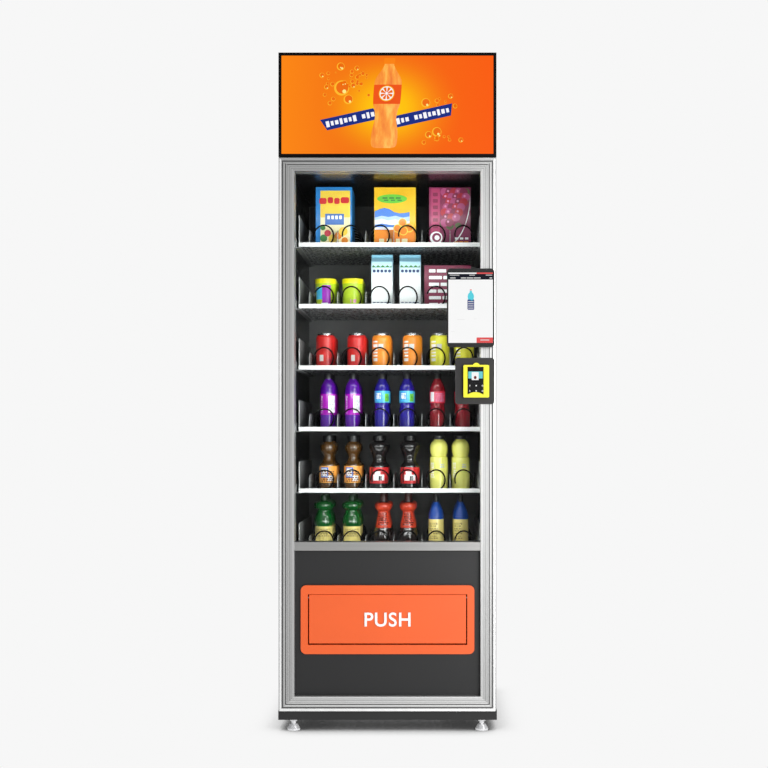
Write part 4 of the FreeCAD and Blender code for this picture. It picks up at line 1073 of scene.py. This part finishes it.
def tablet_picture():
    """Touch menu: a status strip, a dark bar, a small drink picture and a red button."""
    low, high = SCREEN_LOW, SCREEN_HIGH
    left = low.x + 0.0005
    right = high.x - 0.0005
    made = Shape()

    def tile(start, end, bottom, top, finish, level=1, radius=0.0004):
        made.layer(rounded(start, end, bottom, top, radius, 3), low.y, level, finish)

    def dashes(spots, bottom, tall):
        for start, wide in spots:
            tile(low.x + start, low.x + start + wide, bottom, bottom + tall, "ui_grey")

    top = high.z - 0.0050
    foot = low.z + 0.0050
    tile(left, right, foot, top - 0.0220, "ui_white", 0)
    tile(left, right, top - 0.0220, top - 0.0042, "ui_navy", 0)
    tile(left, right, top - 0.0042, top, "ui_white", 0)
    tile(high.x - 0.052, right, top - 0.0042, top, "ui_red")
    dashes(((0.005, 0.030), (0.066, 0.018), (0.118, 0.020)), top - 0.0090, 0.0020)
    dashes(((0.006, 0.017), (0.040, 0.016), (0.058, 0.020), (0.080, 0.022), (0.130, 0.008)),
           top - 0.0185, 0.0030)
    tile(high.x - 0.052, right, foot, foot + 0.0170, "ui_red")
    tile(high.x - 0.040, high.x - 0.012, foot + 0.0075, foot + 0.0105, "ui_grey", 2)
    middle = low.x + 0.071
    base = low.z + 0.109
    tile(middle - 0.0105, middle + 0.0105, base, base + 0.033, "ui_ink", radius=0.003)
    for k in range(4):
        rise = base + 0.0068 * k
        tile(middle - 0.0085, middle + 0.0085, rise + 0.004, rise + 0.0065, "ui_grey", 2)
    made.layer(disc(middle, base + 0.041, 0.0100, 0.0145), low.y, 1, "ui_cyan")
    tile(middle - 0.0035, middle + 0.0035, base + 0.053, base + 0.060, "ui_cyan")
    tile(middle - 0.0028, middle + 0.0028, base + 0.061, base + 0.064, "ui_red")
    for start, wide, rise in ((0.028, 0.024, 0.078), (0.082, 0.008, 0.080), (0.008, 0.012, 0.040)):
        tile(low.x + start, low.x + start + wide, low.z + rise, low.z + rise + 0.0006, "ui_grey",
             radius=0.0002)
    made.piece("tablet_menu", "door", "display_panel")


def reader_face():
    """Dark insert of the card reader: an arched lower edge, a lit screen band and six key symbols."""
    left = CARD_LOW.x + 0.0132
    right = CARD_HIGH.x - 0.0182
    low = CARD_LOW.z + 0.0102
    high = CARD_LOW.z + 0.0988
    face = CARD_LOW.y + 0.0012
    deep = CARD_LOW.y + 0.0029
    middle = (left + right) / 2 - 0.002
    made = Shape()

    def arch(count, foot, rise):
        return [(left + (right - left) * k / count, foot + rise * math.sin(math.pi * k / count))
                for k in range(count + 1)]

    def plate(outline, under, over, finish):
        made.slab(outline, face - over, face - under, finish)

    made.slab(arch(20, low, 0.007) + [(right, high), (left, high)], face, deep, "insert_black", edge=0.0006)
    screen = rounded(left + 0.002, right - 0.002, high - 0.039, high - 0.017, 0.001, 3)
    window = rounded(middle - 0.010, middle + 0.012, high - 0.044, high - 0.019, 0.001, 3)
    plate(screen, 0.0, 0.0003, "reader_cyan")
    plate(window, 0.0003, 0.0006, "ui_white")
    plate(disc(middle + 0.001, high - 0.036, 0.0042, 0.0050), 0.0006, 0.0009, "reader_brown")
    brow = arch(16, high - 0.0555, 0.004)
    plate(brow + [(a, b + 0.0018) for a, b in reversed(brow)], 0.0, 0.0004, "reader_line")
    for row in range(2):
        for column in range(3):
            key_symbol(plate, left + 0.007 + 0.020 * column, low + 0.027 - 0.0165 * row, column)
    made.piece("reader_insert", "door", "display_panel")


def key_symbol(plate, x, z, column):
    """A small white touch symbol: a bar, a dot or a ring."""
    if column == 0:
        plate(rounded(x - 0.0008, x + 0.0008, z - 0.0030, z + 0.0030, 0.0004, 3), 0.0, 0.0003, "ui_white")
    elif column == 1:
        plate(disc(x, z, 0.0022, steps=16), 0.0, 0.0003, "ui_white")
    else:
        plate(disc(x, z, 0.0026, steps=16), 0.0, 0.0003, "ui_white")
        plate(disc(x, z, 0.0014, steps=16), 0.0003, 0.0005, "insert_black")


def push_word():
    """The flap's one generic word, raised from its face."""
    curve = bpy.data.curves.new("push_word", "FONT")
    curve.body = "PUSH"
    curve.align_x = "CENTER"
    curve.align_y = "CENTER"
    curve.extrude = 0.004
    curve.offset = 0.014
    curve.space_character = 1.08
    word = bpy.data.objects.new("push_word", curve)
    bpy.context.scene.collection.objects.link(word)
    bpy.context.view_layer.update()
    word.rotation_euler = (math.radians(90), 0, 0)
    tall = 0.045
    wide = 0.146
    word.scale = (wide / word.dimensions.x, tall / word.dimensions.y, 1)
    middle = (FLAP_LOW + FLAP_HIGH) / 2
    middle.z -= 0.001
    word.location = (0.0, FLAP_LOW.y - 0.0002, middle.z)
    bpy.context.view_layer.update()
    bpy.context.view_layer.objects.active = word
    word.select_set(True)
    bpy.ops.object.convert(target="MESH")
    bpy.ops.object.transform_apply(location=True, rotation=True, scale=True)
    word.select_set(False)
    centre_word(word, middle.z)
    word.data.materials.append(MATERIALS["white_print"])
    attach(word, "pickup_flap")


def centre_word(word, height):
    """Move the converted letters so that they sit in the middle of the flap."""
    low, high = piece_box(word)
    for vertex in word.data.vertices:
        vertex.co.x -= (low.x + high.x) / 2
        vertex.co.z += height - (low.z + high.z) / 2


def edge_shade_line():
    """A thin dark line of painted shade down each outer edge of the door, where its side is in shade."""
    made = Shape()
    low, high = span("door_stile_right")
    for side in (-1, 1):
        outer = side * DOOR_HALF
        inner = side * (DOOR_HALF - 0.0016)
        line = rounded(min(outer, inner), max(outer, inner), low.z, high.z, 0.0004, 2)
        # Painted shade: a thin dark slab in the rubber finish stands for the door's shaded side.
        made.slab(line, low.y - 0.0003, low.y, "rubber")
    made.piece("door_edge_shade_line", "door", "frame_aluminium")


# Stage, lights and camera

def stage():
    floor = bpy.data.meshes.new("floor")
    size = 40.0
    corners = [(-size, -size, 0), (size, -size, 0), (size, size, 0), (-size, size, 0)]
    floor.from_pydata(corners, [], [(0, 1, 2, 3)])
    made = bpy.data.objects.new("floor", floor)
    bpy.context.scene.collection.objects.link(made)
    floor.materials.append(floor_finish())


def floor_finish():
    """White studio paper in the backdrop's own white, with a painted contact shadow where the object stands
    close over it.
    """
    material, tree, shader = blank("studio_paper_painted_shadow")
    tree.nodes.remove(shader)
    # Painted shadow: ambient occlusion darkens the floor's emitted white under and beside the object.
    cover = node(tree, "AmbientOcclusion", {"Distance": 0.13}, samples=8).outputs["AO"]
    shade = ramp(tree, cover,
                 [(0.0, grey(0.02)), (0.35, grey(0.09)), (0.66, grey(0.82)), (0.9, grey(BACKDROP))])
    seen = node(tree, "Emission", {"Color": shade}).outputs["Emission"]
    bounced = node(tree, "Emission", {"Color": grey(0.80)}).outputs["Emission"]
    show(tree, seen, bounced, "Material Output")
    return material


def show(tree, seen, bounced, output):
    """One shader for what the camera sees, and another for the light that it gives the object."""
    camera_ray = node(tree, "LightPath").outputs["Is Camera Ray"]
    mixed = node(tree, "MixShader", {"Fac": camera_ray, 1: bounced, 2: seen})
    fill(tree, tree.nodes[output], {"Surface": mixed.outputs["Shader"]})


def area_light(name, place, target, size, power):
    data = bpy.data.lights.new(name, "AREA")
    data.shape = "RECTANGLE"
    data.size, data.size_y = size
    data.energy = power
    light = bpy.data.objects.new(name, data)
    light.visible_camera = False
    bpy.context.scene.collection.objects.link(light)
    light.location = place
    light.rotation_euler = (Vector(target) - Vector(place)).to_track_quat("-Z", "Y").to_euler()


def backdrop():
    """An even white backdrop for the camera, and a softer grey surround as the light on the object."""
    world = bpy.data.worlds.new("studio")
    world.use_nodes = True
    tree = world.node_tree
    seen = tree.nodes["Background"]
    fill(tree, seen, {"Color": grey(BACKDROP)})
    around = node(tree, "Background", {"Color": (0.96, 0.98, 1.0, 1.0), "Strength": 0.25})
    show(tree, seen.outputs["Background"], around.outputs["Background"], "World Output")
    bpy.context.scene.world = world


def lights():
    """A tall soft key from the front right, weak fills, and a light before each shelf."""
    area_light("key", (1.3, -3.1, 1.15), (0.25, -0.38, 1.05), (1.0, 2.4), 62)
    area_light("side", (1.5, -1.3, 1.25), (0.3, -0.3, 1.05), (0.6, 2.0), 8)
    area_light("fill", (-1.4, -4.0, 1.6), (0, 0, 1.0), (1.4, 2.4), 6)
    for lip in TRAY_LIPS:
        area_light("shelf", (0.0, -0.335, lip + 0.120), (0.0, 0.3, lip - 0.02), (0.56, 0.02), 0.4)


def camera():
    data = bpy.data.cameras.new("camera")
    data.sensor_width = 36
    data.lens = 65.9
    data.shift_x = -0.0596
    data.shift_y = 0.0686
    data.clip_end = 100
    made = bpy.data.objects.new("camera", data)
    bpy.context.scene.collection.objects.link(made)
    made.location = (0.134, -0.385 - 4.45, 0.934)
    made.rotation_euler = (math.radians(90), 0, 0)
    bpy.context.scene.camera = made


bpy.context.scene.view_settings.view_transform = "Standard"
finish_nodes()
stock()
lit_tones()
header_picture()
tablet_picture()
reader_face()
push_word()
edge_shade_line()
stage()
backdrop()
lights()
camera()
